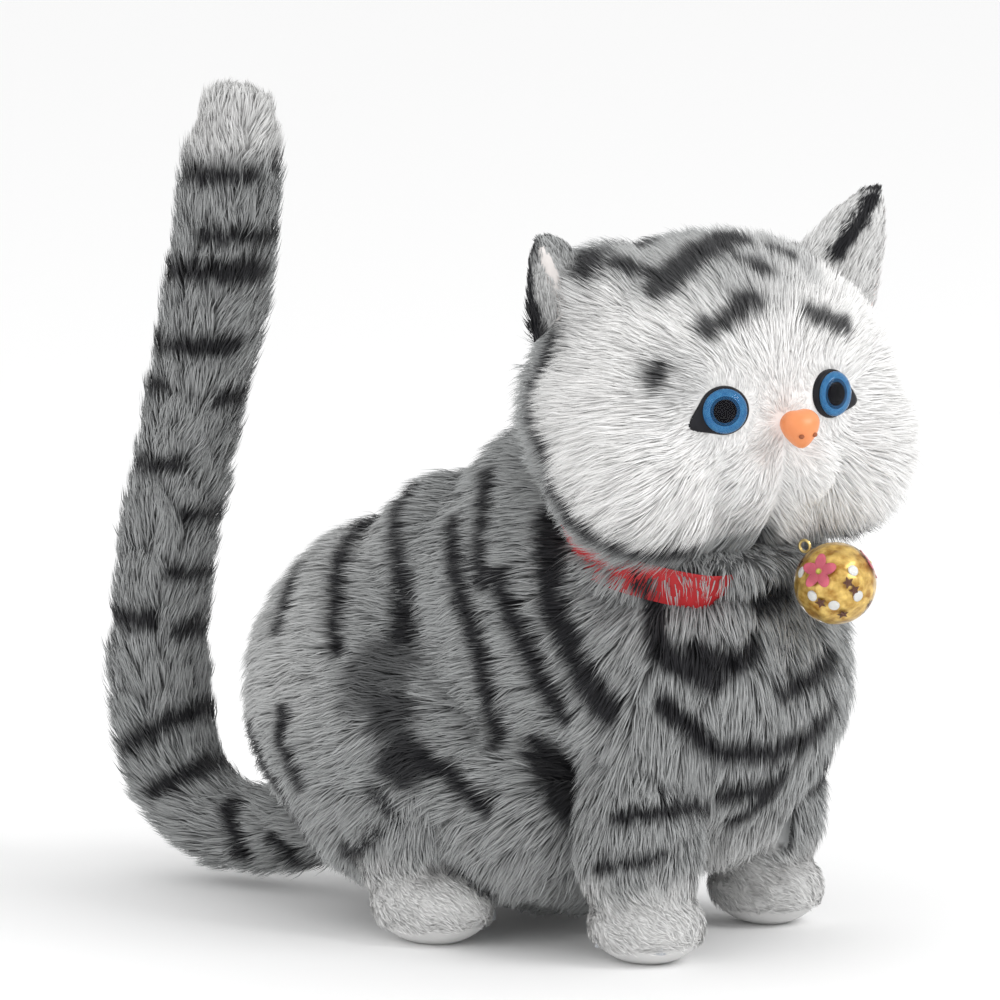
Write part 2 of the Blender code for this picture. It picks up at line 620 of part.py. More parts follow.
# ---------------------------------------------------------------- tail
def tail():
    points, radii = fine_path(TAIL_LINE, TAIL_R, 2)
    plush = tube("tail_plush", points, [r - 1.0 for r in radii], 16)
    top = raw_object("u", ball_bm(TAIL_LINE[-1], (10.0, 10.0, 9.0), 16))
    boolean(plush, [top], "UNION")
    core_line = [(0, 50, 17)] + TAIL_LINE[:-1]
    fine, _ = fine_path(core_line, [3.4] * len(core_line), 2)
    boolean(plush, [tube("c", fine, [3.6] * len(fine), 12)])
    finish(plush, "plush_grey", (0, 66, 17))
    core = tube("tail_spine", fine, [3.1] * len(fine), 12)
    hub = rod("u", (0, 49.5, 17), (0, 56, 17), 8.0, 24)
    boolean(core, [hub], "UNION")
    finish(core, "black_plastic", (0, 66, 17))


def build():
    clear_file()
    chassis()
    screws()
    battery()
    electronics()
    drive()
    cutters = legs()
    body_plush(cutters)
    collar()
    head()
    tail()


build()
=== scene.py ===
import json
import math

import bmesh
import bpy
import numpy as np
from mathutils import Matrix, Vector, kdtree


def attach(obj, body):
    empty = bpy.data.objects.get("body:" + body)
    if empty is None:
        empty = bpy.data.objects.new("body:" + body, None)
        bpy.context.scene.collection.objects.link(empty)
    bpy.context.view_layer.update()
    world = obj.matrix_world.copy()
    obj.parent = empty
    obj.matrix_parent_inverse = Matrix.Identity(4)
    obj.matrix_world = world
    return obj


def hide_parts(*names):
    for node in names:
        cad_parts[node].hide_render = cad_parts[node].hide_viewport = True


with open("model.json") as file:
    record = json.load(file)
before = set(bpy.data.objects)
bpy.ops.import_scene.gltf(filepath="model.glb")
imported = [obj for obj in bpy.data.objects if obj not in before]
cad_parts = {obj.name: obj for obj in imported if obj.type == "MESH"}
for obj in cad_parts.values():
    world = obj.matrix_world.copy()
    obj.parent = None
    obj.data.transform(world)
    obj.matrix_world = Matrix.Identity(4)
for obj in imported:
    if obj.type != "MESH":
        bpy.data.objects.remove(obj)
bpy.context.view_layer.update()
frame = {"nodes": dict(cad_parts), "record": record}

# Places and sizes are in the drawing's millimetres: x to the animal's left, y to its back, z up.
MM = 0.001
SHIFT = np.array([0.0, -2.0, 0.0])        # from the drawing's millimetres to the row frame's
RNG = np.random.default_rng(11)
QUICK_SHARE = 1.0  # share of the pile that is grown

BODY_PARTS = [                            # (middle, radii) of each rounded mass
    ((0, 23, 58), (52, 50, 51)), ((0, -28, 80), (46, 56, 51)), ((0, -61, 70), (46, 41, 46)),
    ((29, 12, 46), (25, 38, 40)), ((-29, 12, 46), (25, 38, 40)), ((26, -63, 54), (20, 21, 32)),
    ((-26, -63, 54), (20, 21, 32)), ((0, -58, 98), (39, 34, 25)), ((0, -26, 94), (38, 42, 45)),
    ((0, -18, 32), (40, 50, 33)), ((0, 5, 88), (36, 35, 34)), ((28, -20, 34), (22, 34, 27)),
    ((-28, -20, 34), (22, 34, 27)), ((0, -60, 58), (28, 36, 42)), ((0, -58, 102.5), (44, 41, 11.5)),
    ((12, -46, 105), (30, 26, 11)),
]
HEAD_C = Vector((-2.0, -64.0, 142.6))
HEAD_TURN, HEAD_ROLL = math.radians(-30.0), math.radians(-4.0)
HEAD_PARTS = [                            # in the head's own axes
    ((0, 0, 0), (52, 45, 46)), ((23.5, -13, -13), (28, 27, 27)), ((-25, -14, -13), (28, 27, 27)),
    ((8.5, -28, -14), (14.5, 19, 15)), ((-8.5, -28, -14), (14.5, 19, 15)), ((-25, 2, 29), (22, 22, 17)),
]
EYE = (15.6, -36.4, 3.2)                  # the left eye, in the head's own axes; the right one mirrors it
EYE_SIZE = 0.9
NOSE = np.array([1.0, -46.5, -2.2])
TAIL_LINE = [
    (0, 48, 20), (0, 76, 15), (0, 92, 19), (0, 103, 31), (0, 107, 49), (0, 107, 66),
    (0, 104, 92), (0, 98, 118), (0, 92, 142), (0, 87, 164), (0, 84, 188), (0, 82, 205),
]
TAIL_R = [                                # radius of the pile at each point of TAIL_LINE
    12.5, 14.0, 15.2, 16.2, 15.8, 15.2, 15.2, 15.4, 15.8, 16.4, 15.6, 13.6,
]
FRONT_LEG = ((30, -63, 9.5), (15.5, 17.5, 12.5), (30, -61, 32), (17, 16.5, 32))
HIND_LEG = ((38, -3, 10), (15, 19, 13), (35, 4, 27), (14, 19, 25))
LEGS = {                                  # side, then middle and radii of the foot and of the column
    "front_right": (-1, *FRONT_LEG),
    "front_left": (1, *FRONT_LEG),
    "hind_right": (-1, *HIND_LEG),
    "hind_left": (1, *HIND_LEG),
}

WHITE_TIP, WHITE_ROOT = (0.89, 0.885, 0.875), (0.80, 0.795, 0.79)
GREY_TIP, GREY_ROOT = (0.41, 0.42, 0.42), (0.09, 0.093, 0.095)
DARK_TIP, DARK_ROOT = (0.014, 0.014, 0.017), (0.008, 0.008, 0.010)

LEVELS = 4                                # rings of points along one blade of pile
BLADE_WIDTHS = (0.8, 1.0, 0.75)           # share of the blade's width at each ring under its tip
BLADE_TONES = (0.0, 0.45, 0.85, 1.0)      # share of the tip's colour at each ring
BLADE_BEND = 0.35                         # how much of the rise is left at the end of a blade
BLADE_POINTS = 7
BLADE_UV = np.array([[0.2, 0.1], [0.8, 0.1], [0.2, 0.4], [0.8, 0.4], [0.2, 0.7], [0.8, 0.7], [0.5, 0.9]])
LOWEST = 0.4                              # pile ends this far above the floor


# ---------------------------------------------------------------- small helpers
def unit(v):
    return v / np.maximum(np.linalg.norm(v, axis=-1, keepdims=True), 1e-9)


def smooth_step(a, b, x):
    t = np.clip((x - a) / (b - a), 0, 1)
    return t * t * (3 - 2 * t)


def waves(p, size, seed):
    """Smooth wandering value from about -1 to 1 at each point."""
    rng = np.random.default_rng(seed)
    out = np.zeros(len(p))
    for _ in range(6):
        k = unit(rng.normal(size=3)) * 2 * math.pi / size * rng.uniform(0.6, 1.6)
        out += np.sin(p @ k + rng.uniform(0, 6.28))
    return out / 3.2


def stripe(half, distance, inner, outer):
    """1 on a marking of this half width, 0 off it; its soft rim reaches inner mm in and outer mm out."""
    return 1 - smooth_step(half - inner, half + outer, distance)


def line_distance(p, line):
    """Distance from each point to a polyline, in as many dimensions as both have."""
    best = np.full(len(p), 1e9)
    line = np.array(line, float)
    for a, b in zip(line, line[1:]):
        d = b - a
        t = np.clip(((p - a) @ d) / max(d @ d, 1e-9), 0, 1)
        best = np.minimum(best, np.linalg.norm(p - (a + t[:, None] * d), axis=1))
    return best


def place(name, mesh, smooth=True):
    """Put a mesh into the scene as a named object."""
    if smooth:
        mesh.polygons.foreach_set("use_smooth", [True] * len(mesh.polygons))
    obj = bpy.data.objects.new(name, mesh)
    bpy.context.scene.collection.objects.link(obj)
    return obj


def add_mesh(name, verts, faces):
    mesh = bpy.data.meshes.new(name)
    mesh.from_pydata([tuple(v) for v in verts], [], [tuple(f) for f in faces])
    return place(name, mesh)


def from_bmesh(name, bm, smooth=True):
    mesh = bpy.data.meshes.new(name)
    bm.to_mesh(mesh)
    bm.free()
    return place(name, mesh, smooth)


def tube_faces(rings, seg):
    """Four-cornered faces that join rings of seg points one after the other."""
    return [(i * seg + k, i * seg + (k + 1) % seg, (i + 1) * seg + (k + 1) % seg, (i + 1) * seg + k)
            for i in range(rings - 1) for k in range(seg)]


def apply_modifiers(obj):
    """Make what an object's modifiers show its own mesh."""
    graph = bpy.context.evaluated_depsgraph_get()
    mesh = bpy.data.meshes.new_from_object(obj.evaluated_get(graph))
    obj.modifiers.clear()
    obj.data = mesh


def principled(name, colour, rough=0.6, **inputs):
    mat = bpy.data.materials.new(name)
    mat.use_nodes = True
    shader = mat.node_tree.nodes["Principled BSDF"]
    shader.inputs["Base Color"].default_value = (*colour, 1.0)
    shader.inputs["Roughness"].default_value = rough
    for key, value in inputs.items():
        shader.inputs[key.replace("_", " ")].default_value = value
    return mat


def speckle(mat, low, high, scale, spread=0.35):
    """Give a material a faint procedural variation between two colours."""
    tree = mat.node_tree
    noise = tree.nodes.new("ShaderNodeTexNoise")
    noise.inputs["Scale"].default_value = scale
    noise.inputs["Detail"].default_value = 3.0
    ramp = tree.nodes.new("ShaderNodeValToRGB")
    ramp.color_ramp.elements[0].position = 0.5 - spread
    ramp.color_ramp.elements[1].position = 0.5 + spread
    ramp.color_ramp.elements[0].color = (*low, 1.0)
    ramp.color_ramp.elements[1].color = (*high, 1.0)
    coord = tree.nodes.new("ShaderNodeTexCoord")
    tree.links.new(coord.outputs["Object"], noise.inputs["Vector"])
    tree.links.new(noise.outputs["Fac"], ramp.inputs["Fac"])
    tree.links.new(ramp.outputs["Color"], tree.nodes["Principled BSDF"].inputs["Base Color"])
    return mat


def finish(name, colour, rough, low, high, scale, spread=0.35, **inputs):
    return speckle(principled(name, colour, rough, **inputs), low, high, scale, spread)


def pile_material(name, rough=0.75, sheen=0.25):
    """Fur and skin take their colour from the points' own colours."""
    mat = bpy.data.materials.new(name)
    mat.use_nodes = True
    tree = mat.node_tree
    shader = tree.nodes["Principled BSDF"]
    shader.inputs["Roughness"].default_value = rough
    shader.inputs["Specular IOR Level"].default_value = 0.25
    shader.inputs["Sheen Weight"].default_value = sheen
    colour = tree.nodes.new("ShaderNodeAttribute")
    colour.attribute_name = "pile"
    tree.links.new(colour.outputs["Color"], shader.inputs["Base Color"])
    return mat


# ---------------------------------------------------------------- soft skins
HEAD_FRAME = (Matrix.Translation(HEAD_C) @ Matrix.Rotation(HEAD_TURN, 4, "Z")
              @ Matrix.Rotation(HEAD_ROLL, 4, "Y"))
HEAD_M = np.array(HEAD_FRAME)
HEAD_INV = np.linalg.inv(HEAD_M)


def to_head(p):
    return p @ HEAD_INV[:3, :3].T + HEAD_INV[:3, 3]


def out_of_head(q):
    return q @ HEAD_M[:3, :3].T + HEAD_M[:3, 3]


def skin(name, parts, inset, voxel, smooth, transform=None, floor=None):
    """Smooth closed skin round a set of ellipsoids, inset mm inside them, in drawing millimetres."""
    bm = bmesh.new()
    base = transform or Matrix.Identity(4)
    for centre, radii in parts:
        size = [r - inset for r in radii]
        mat = base @ Matrix.Translation(centre) @ Matrix.Diagonal((*size, 1.0))
        bmesh.ops.create_uvsphere(bm, u_segments=48, v_segments=24, radius=1.0, matrix=mat)
    obj = from_bmesh(name, bm)
    mod = obj.modifiers.new("skin", "REMESH")
    mod.mode = "VOXEL"
    mod.voxel_size = voxel
    soft = obj.modifiers.new("soft", "SMOOTH")
    soft.factor = 0.5
    soft.iterations = smooth
    apply_modifiers(obj)
    obj.data.polygons.foreach_set("use_smooth", [True] * len(obj.data.polygons))
    if floor is not None:
        for v in obj.data.vertices:
            v.co.z = max(v.co.z, floor)
    return obj


TAIL_STEPS = 8              # rings for each stretch of TAIL_LINE
TAIL_SEG = 28               # points round the tail
TAIL_END = 6.0              # height of the rounded end
TAIL_END_RINGS = 6


def tail_skin(name, inset):
    """Tube along a smooth curve through TAIL_LINE, with a rounded end; also gives the curve's points."""
    pts = [Vector(p) for p in TAIL_LINE]
    fine, radii = [], []
    n = len(pts)
    for i in range(n - 1):
        p = [pts[max(min(j, n - 1), 0)] for j in (i - 1, i, i + 1, i + 2)]
        for s in range(TAIL_STEPS):
            t = s / TAIL_STEPS
            w = (-0.5 * t ** 3 + t ** 2 - 0.5 * t, 1.5 * t ** 3 - 2.5 * t ** 2 + 1,
                 -1.5 * t ** 3 + 2 * t ** 2 + 0.5 * t, 0.5 * t ** 3 - 0.5 * t ** 2)
            fine.append(sum((v * k for v, k in zip(p, w)), Vector()))
            radii.append(TAIL_R[i] * (1 - t) + TAIL_R[i + 1] * t - inset)
    fine.append(pts[-1])
    radii.append(TAIL_R[-1] - inset)
    for k in range(1, TAIL_END_RINGS):
        a = k / TAIL_END_RINGS * math.pi / 2
        fine.append(pts[-1] + Vector((0, -0.1, 1.0)) * (TAIL_END * math.sin(a)))
        radii.append((TAIL_R[-1] - inset) * math.cos(a) ** 0.6)
    verts = []
    side = Vector((1, 0, 0))
    for i, (c, r) in enumerate(zip(fine, radii)):
        ahead = (fine[min(i + 1, len(fine) - 1)] - fine[max(i - 1, 0)]).normalized()
        up = ahead.cross(side).normalized()
        for k in range(TAIL_SEG):
            t = 2 * math.pi * k / TAIL_SEG
            verts.append(c + (side * math.cos(t) + up * math.sin(t)) * r)
    faces = tube_faces(len(fine), TAIL_SEG)
    faces.append(tuple(range(TAIL_SEG)))
    faces.append(tuple(range(len(verts) - 1, len(verts) - 1 - TAIL_SEG, -1)))
    obj = add_mesh(name, verts, faces)
    bm = bmesh.new()
    bm.from_mesh(obj.data)
    bmesh.ops.recalc_face_normals(bm, faces=bm.faces[:])
    bm.to_mesh(obj.data)
    bm.free()
    return obj, np.array(fine)


def points(obj):
    return arrays(obj.data)[0]


def arrays(mesh):
    """A mesh's points, their normals and the triangles' corners."""
    mesh.calc_loop_triangles()
    co = np.empty(len(mesh.vertices) * 3)
    mesh.vertices.foreach_get("co", co)
    no = np.empty(len(mesh.vertices) * 3)
    mesh.vertices.foreach_get("normal", no)
    tri = np.empty(len(mesh.loop_triangles) * 3, np.int64)
    mesh.loop_triangles.foreach_get("vertices", tri)
    return co.reshape(-1, 3), no.reshape(-1, 3), tri.reshape(-1, 3)


def scatter(mesh, per_mm2, keep=None):
    """Random roots over a mesh: points and normals."""
    co, no, tri = arrays(mesh)
    a, b, c = co[tri[:, 0]], co[tri[:, 1]], co[tri[:, 2]]
    area = 0.5 * np.linalg.norm(np.cross(b - a, c - a), axis=1)
    count = int(area.sum() * per_mm2 * QUICK_SHARE)
    pick = RNG.choice(len(tri), count, p=area / area.sum())
    r1, r2 = np.sqrt(RNG.random(count)), RNG.random(count)
    w = np.stack([1 - r1, r1 * (1 - r2), r1 * r2], 1)[:, :, None]
    p = (np.stack([a[pick], b[pick], c[pick]], 1) * w).sum(1)
    n = unit((no[tri[pick]] * w).sum(1))
    if keep is not None:
        mask = keep(p, n)
        p, n = p[mask], n[mask]
    return p, n


def grow(name, p, n, flow, length, rise, colours, width, clump, clump_every=45, jitter=0.16):
    """One mesh of tapering blades. flow is each blade's lie along the skin, rise its angle off the skin in
    radians, colours a function of points giving (root, tip) colours."""
    count = len(p)
    flow = flow + waves(p, 9, 3)[:, None] * np.cross(n, flow) * 0.25
    flow = flow + RNG.normal(size=(count, 3)) * jitter
    flow = unit(flow - n * (flow * n).sum(1, keepdims=True))
    length = length * RNG.uniform(0.72, 1.18, count)
    rise = np.clip(rise * RNG.normal(1.0, 0.18, count), 0.08, 1.4)
    line = [p]
    for k in range(LEVELS - 1):
        a = rise * (1 - (1 - BLADE_BEND) * k / (LEVELS - 2))
        d = flow * np.cos(a)[:, None] + n * np.sin(a)[:, None]
        line.append(line[-1] + d * (length / (LEVELS - 1))[:, None])
    line = np.stack(line, 1)                                     # count, LEVELS, 3
    if count > clump_every:                                      # tips lean together in tufts
        tree = kdtree.KDTree(max(count // clump_every, 1))
        centres = RNG.choice(count, max(count // clump_every, 1), replace=False)
        for i, c in enumerate(centres):
            tree.insert(p[c], i)
        tree.balance()
        own = centres[np.array([tree.find(q)[1] for q in p])]
        pull = (line[own, -1] - line[:, -1]) * clump * RNG.uniform(0.5, 1.2, count)[:, None]
        away = np.linalg.norm(pull, axis=1)
        pull *= np.minimum(1, 3.0 / np.maximum(away, 1e-6))[:, None]
        for k in range(1, LEVELS):
            line[:, k] += pull * (k / (LEVELS - 1)) ** 1.6
    line[:, :, 2] = np.maximum(line[:, :, 2], LOWEST)
    along = unit(line[:, -1] - line[:, 0])
    side = unit(np.cross(along, n) + np.cross(along, RNG.normal(size=(count, 3))) * 0.35)
    half = width * RNG.uniform(0.7, 1.25, count)[:, None] * 0.5
    verts = []
    for k, share in enumerate(BLADE_WIDTHS):
        verts.append(line[:, k] - side * half * share)
        verts.append(line[:, k] + side * half * share)
    verts.append(line[:, -1])
    verts = np.stack(verts, 1)                                   # count, BLADE_POINTS, 3
    base = (np.arange(count) * BLADE_POINTS)[:, None]
    quads = np.concatenate([base + np.array([[0, 1, 3, 2]]), base + np.array([[2, 3, 5, 4]])])
    tris = base + np.array([[4, 5, 6]])
    mesh = bpy.data.meshes.new(name)
    flat = ((verts.reshape(-1, 3) + SHIFT) * MM).astype(np.float32)
    mesh.vertices.add(len(flat))
    mesh.vertices.foreach_set("co", flat.ravel())
    mesh.loops.add(quads.size + tris.size)
    mesh.loops.foreach_set("vertex_index", np.concatenate([quads.ravel(), tris.ravel()]).astype(np.int32))
    mesh.polygons.add(len(quads) + len(tris))
    starts = np.concatenate([np.arange(len(quads)) * 4, len(quads) * 4 + np.arange(len(tris)) * 3])
    mesh.polygons.foreach_set("loop_start", starts.astype(np.int32))
    mesh.polygons.foreach_set("use_smooth", [True] * (len(quads) + len(tris)))
    mesh.update(calc_edges=True)
    tone = np.clip(RNG.normal(1.0, 0.10, count), 0.7, 1.25)[:, None]
    shade = np.zeros((count, BLADE_POINTS, 4), np.float32)
    shade[:, :, 3] = 1
    for k, t in enumerate(BLADE_TONES):                          # each ring takes the marking it lies over
        root, tip = colours(line[:, k])
        shade[:, 2 * k:2 * k + 2, :3] = np.clip((root * (1 - t) + tip * t) * tone, 0, 1)[:, None]
    layer = mesh.attributes.new("pile", "FLOAT_COLOR", "POINT")
    layer.data.foreach_set("color", shade.ravel())
    # one small cell of the unwrapped sheet for each blade
    cells = int(math.ceil(math.sqrt(count)))
    corner = np.stack([np.arange(count) % cells, np.arange(count) // cells], 1)
    uv = (corner[:, None, :] + BLADE_UV[None]) * (1.0 / cells)
    index = np.empty(len(mesh.loops), np.int32)
    mesh.loops.foreach_get("vertex_index", index)
    sheet_uv = mesh.uv_layers.new(name="OFBake")
    sheet_uv.data.foreach_set("uv", uv.reshape(-1, 2)[index].astype(np.float32).ravel())
    mesh.materials.append(FUR)
    return place(name, mesh, smooth=False)


FUR = pile_material("pile_fur")
SKIN = pile_material("pile_backing", 0.9, 0.0)


# ---------------------------------------------------------------- markings
FLANK = [         # (half width, [(y, z), ...]) seen from the side; the left side's are a little shifted
    (1.5, [(47, 91), (45, 77)]),
    (2.1, [(36, 101), (26, 87), (22, 75)]),
    (2.0, [(21, 112), (13, 98), (6, 79)]),
    (2.6, [(-3, 107), (-12, 93), (-20, 78), (-22, 55)]),
    (2.1, [(-10, 120), (-13, 110), (-19, 96)]),
    (2.5, [(-24, 98), (-33, 82), (-42, 63)]),
    (3.2, [(-34, 112), (-39, 95), (-46, 80), (-58, 66)]),
    (4.4, [(-50, 74), (-58, 67)]),
    (2.1, [(38, 57), (40, 48), (33, 39)]),
    (2.1, [(57, 49), (50, 36), (38, 24)]),
    (2.4, [(18, 22), (3, 15)]),
    (1.9, [(-6, 50), (-14, 44), (-25, 38)]),
    (2.6, [(-33, 54), (-41, 44), (-49, 33)]),
    (2.2, [(-8, 20), (-19, 14)]),
    (1.8, [(8, 40), (0, 33)]),
]
CHEST = [         # (half width, [(degrees round from the front towards the right side, z), ...])
    (2.8, [(85, 100), (75, 83), (55, 74)]),
    (2.6, [(72, 69), (55, 57), (29, 54.5), (12, 57), (-5, 62)]),
    (2.4, [(27, 70), (-6, 76)]),
    (2.2, [(31, 92), (8, 94)]),
    (2.6, [(82, 47), (70, 43), (58, 39)]),
    (2.4, [(48, 43), (34, 44), (19, 46)]),
    (1.7, [(40, 35), (20, 41)]),
    (2.6, [(62, 82), (48, 78), (38, 82)]),
]
CHEST_SCALE = 0.72                        # millimetres round the chest for one degree
CHEST_Y = -61.0                           # the upright axis that the chest's degrees go round
CHEST_RIGHT_ONLY = (1, 2, 4, 7)           # the bands of CHEST that the left side doesn't have
BLOTS = [         # (y, z, radius, how dark)
    (9, 70, 9.5, 0.72), (-1, 49, 8.0, 0.95), (4, 60, 7.5, 0.85), (14, 64, 5.5, 0.6),
]
WHORL = np.array([-50.0, 5.0, 61.0])      # where the pile of the right flank turns round a point


def chest_coords(p):
    angle = np.degrees(np.arctan2(-p[:, 0], -(p[:, 1] - CHEST_Y)))
    return np.stack([angle * CHEST_SCALE, p[:, 2]], 1)


def body_dark(p):
    """How dark the body's pile is, 0 grey to 1 black, with painted shade added low down near the floor."""
    edge = waves(p, 7, 21) * 0.6 + RNG.normal(size=len(p)) * 0.25 - 0.5
    dark = np.zeros(len(p))
    for k, (half, line) in enumerate(FLANK):
        for sign in (-1, 1):
            shift = 0 if sign < 0 else (3.0 * math.sin(k * 2.1))
            on = (p[:, 0] * sign > -12) & (p[:, 1] > -74)
            distance = line_distance(p[:, 1:], np.array(line, float) + (shift, 0)) + edge
            dark = np.maximum(dark, np.where(on, stripe(half, distance, 0.6, 0.9), 0))
    chest = chest_coords(p)
    front = p[:, 1] < -46
    for k, (half, line) in enumerate(CHEST):
        for sign in (1, -1):
            if sign < 0 and k in CHEST_RIGHT_ONLY:
                continue
            pts = np.array([(a * CHEST_SCALE * sign, z) for a, z in line], float)
            if sign < 0:
                pts = pts + (0, -2.0 + 2.0 * math.sin(k * 1.7))
            distance = line_distance(chest, pts) + edge
            dark = np.maximum(dark, np.where(front, stripe(half, distance, 0.6, 0.9), 0))
    for y, z, radius, depth in BLOTS:
        distance = np.hypot(p[:, 1] - y, p[:, 2] - z) + edge * 2.4 + 30.0 * (np.abs(p[:, 0]) < 25)
        dark = np.maximum(dark, depth * (1 - smooth_step(radius * 0.55, radius * 1.1, distance)))
    # painted shade: the pile is made a quarter darker low down, near the floor under the body
    under = 1 - smooth_step(4, 14, p[:, 2])
    return dark * (0.55 + 0.45 * smooth_step(6, 18, p[:, 2])) + 0.25 * under


def mix(dark, white=None):
    """(root, tip) colours from how dark and how white each point is."""
    d = np.clip(dark, 0, 1)[:, None]
    root = np.array(GREY_ROOT) * (1 - d) + np.array(DARK_ROOT) * d
    tip = np.array(GREY_TIP) * (1 - d) + np.array(DARK_TIP) * d
    if white is not None:
        w = np.clip(white, 0, 1)[:, None]
        root = root * (1 - w) + np.array(WHITE_ROOT) * w
        tip = tip * (1 - w) + np.array(WHITE_TIP) * w
    return root, tip


def body_shade(p):
    paws = 0.4 * (1 - smooth_step(16, 44, p[:, 2])) * (p[:, 1] < -46)
    rump = 0.22 * smooth_step(8, 40, p[:, 1]) * smooth_step(40, 64, p[:, 2])
    dark = body_dark(p)
    return mix(dark, np.maximum(paws, rump) * (1 - dark))


def paint(obj, root, tip, share=0.35):
    layer = obj.data.attributes.new("pile", "FLOAT_COLOR", "POINT")
    rgba = np.ones((len(obj.data.vertices), 4), np.float32)
    rgba[:, :3] = root * (1 - share) + tip * share
    layer.data.foreach_set("color", rgba.ravel())
    obj.data.materials.clear()
    obj.data.materials.append(SKIN)


def settle(obj):
    """Move a skin from drawing millimetres to the row frame in metres."""
    obj.data.transform(Matrix.Scale(MM, 4) @ Matrix.Translation(SHIFT.tolist()))
    return obj


# ---------------------------------------------------------------- body
def body_flow(p, n):
    """Which way the body's pile lies: back along the flanks, down the chest, outwards round each whorl."""
    down = smooth_step(-40, -75, p[:, 1])
    low = 1 - smooth_step(15, 55, p[:, 2])
    rear = smooth_step(40, 68, p[:, 1])
    back = 1.0 - 1.0 * down - 0.6 * low
    up = -0.30 - 1.1 * down - 0.9 * low - 0.6 * rear
    flow = np.stack([0.15 * np.sign(p[:, 0]), back, up], 1)
    for sign in (-1, 1):
        away = p - WHORL * (-sign, 1, 1)
        dist = np.linalg.norm(away, axis=1)
        near = 0.5 * (1 - smooth_step(4, 18, dist))[:, None]
        swirl = unit(away) + 0.5 * np.cross(n, unit(away)) + np.array([0, 0.25, -0.25])
        flow = flow * (1 - near) + swirl * near
    return flow


FLANK_FRONT = -42            # y where the flanks' pile ends and the chest's begins


def from_head(p, radii):
    """1 on an ellipsoid of these radii round the head's middle, less inside it."""
    return np.linalg.norm((p - np.array(HEAD_C)) / radii, axis=1)


def build_body():
    base = skin("body_backing", BODY_PARTS, 7.0, 2.6, 6, floor=2.0)
    paint(base, *body_shade(points(base)))
    areas = (
        ("fur_flank_right", lambda p: (p[:, 0] < 0) & (p[:, 1] >= FLANK_FRONT)),
        ("fur_flank_left", lambda p: (p[:, 0] >= 0) & (p[:, 1] >= FLANK_FRONT)),
        ("fur_chest", lambda p: p[:, 1] < FLANK_FRONT),
    )
    for name, pick in areas:
        p, n = scatter(base.data, 2.1, lambda p, n: ~(from_head(p, (44, 38, 38)) < 1) & pick(p))
        low = 1 - smooth_step(8, 30, p[:, 2])
        at_collar = smooth_step(92, 108, p[:, 2]) * (p[:, 1] < -40)
        brushed = 1 - smooth_step(1.0, 1.3, from_head(p, (54, 54, 46)))
        length = 11.0 - 3.0 * low - 3.0 * at_collar
        length = length * (1 - 0.4 * brushed * (p[:, 0] > 4))
        obj = grow(name, p, n, body_flow(p, n), length, np.full(len(p), 0.56), body_shade,
                   width=0.32, clump=0.42, clump_every=70, jitter=0.14)
        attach(obj, "torso")
    settle(base)
    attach(base, "torso")
    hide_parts("body_plush")


# ---------------------------------------------------------------- legs
HIND_STRIPES = [(2.0, [(-16, 22), (-4, 17)]), (2.0, [(6, 30), (18, 20)])]
LEG_STRIPES = {              # (half width, [(y, z), ...]) seen from the side
    "front_right": [(1.6, [(-74, 30), (-58, 26)]), (2.0, [(-80, 42), (-64, 40)])],
    "front_left": [(2.2, [(-51, 12), (-69, 23)]), (2.2, [(-67, 11), (-80, 19)]),
                   (2.2, [(-80, 38), (-60, 34)])],
    "hind_right": HIND_STRIPES,
    "hind_left": HIND_STRIPES,
}


def leg_keep(p, n):
    """Pile grows off the sole, under the flank's pile, and above the foot on the outer side only."""
    return ((n[:, 2] > -0.6) & (p[:, 2] < 54) & (p[:, 2] > 2.4)
            & ((np.abs(p[:, 0]) > 24) | (p[:, 2] < 22)))


def build_legs():
    for name, (side, foot, foot_r, column, column_r) in LEGS.items():
        parts = [((middle[0] * side, middle[1], middle[2]), radii)
                 for middle, radii in ((foot, foot_r), (column, column_r))]
        base = skin("leg_backing_" + name, parts, 2.2, 1.5, 5, floor=0.0)

        def shade(p):
            # the feet's own white, held at 0.7 of full white as painted shade on the feet under the body
            white = 0.7 * (1 - smooth_step(14, 26, p[:, 2] + waves(p, 8, 5) * 2.5))
            dark = np.zeros(len(p))
            edge = waves(p, 6, 9) * 0.8 + RNG.normal(size=len(p)) * 0.4
            for half, line in LEG_STRIPES[name]:
                dark = np.maximum(dark, stripe(half, line_distance(p[:, 1:], line) + edge, 0.6, 0.8))
            return mix(dark, white)

        paint(base, *shade(points(base)), share=0.6)
        p, n = scatter(base.data, 2.8, leg_keep)
        high = smooth_step(12, 34, p[:, 2])
        toe = 1 - high
        flow = np.stack([0.1 * np.sign(p[:, 0]), -0.9 * toe, -1.0 * high - 0.35 * toe], 1)
        obj = grow("fur_leg_" + name, p, n, flow, 2.8 + 5.6 * high, 0.45 + 0.15 * high, shade,
                   width=0.28, clump=0.25)
        for piece in (obj, settle(base)):
            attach(piece, "leg_" + name)
        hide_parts("leg_plush_" + name)


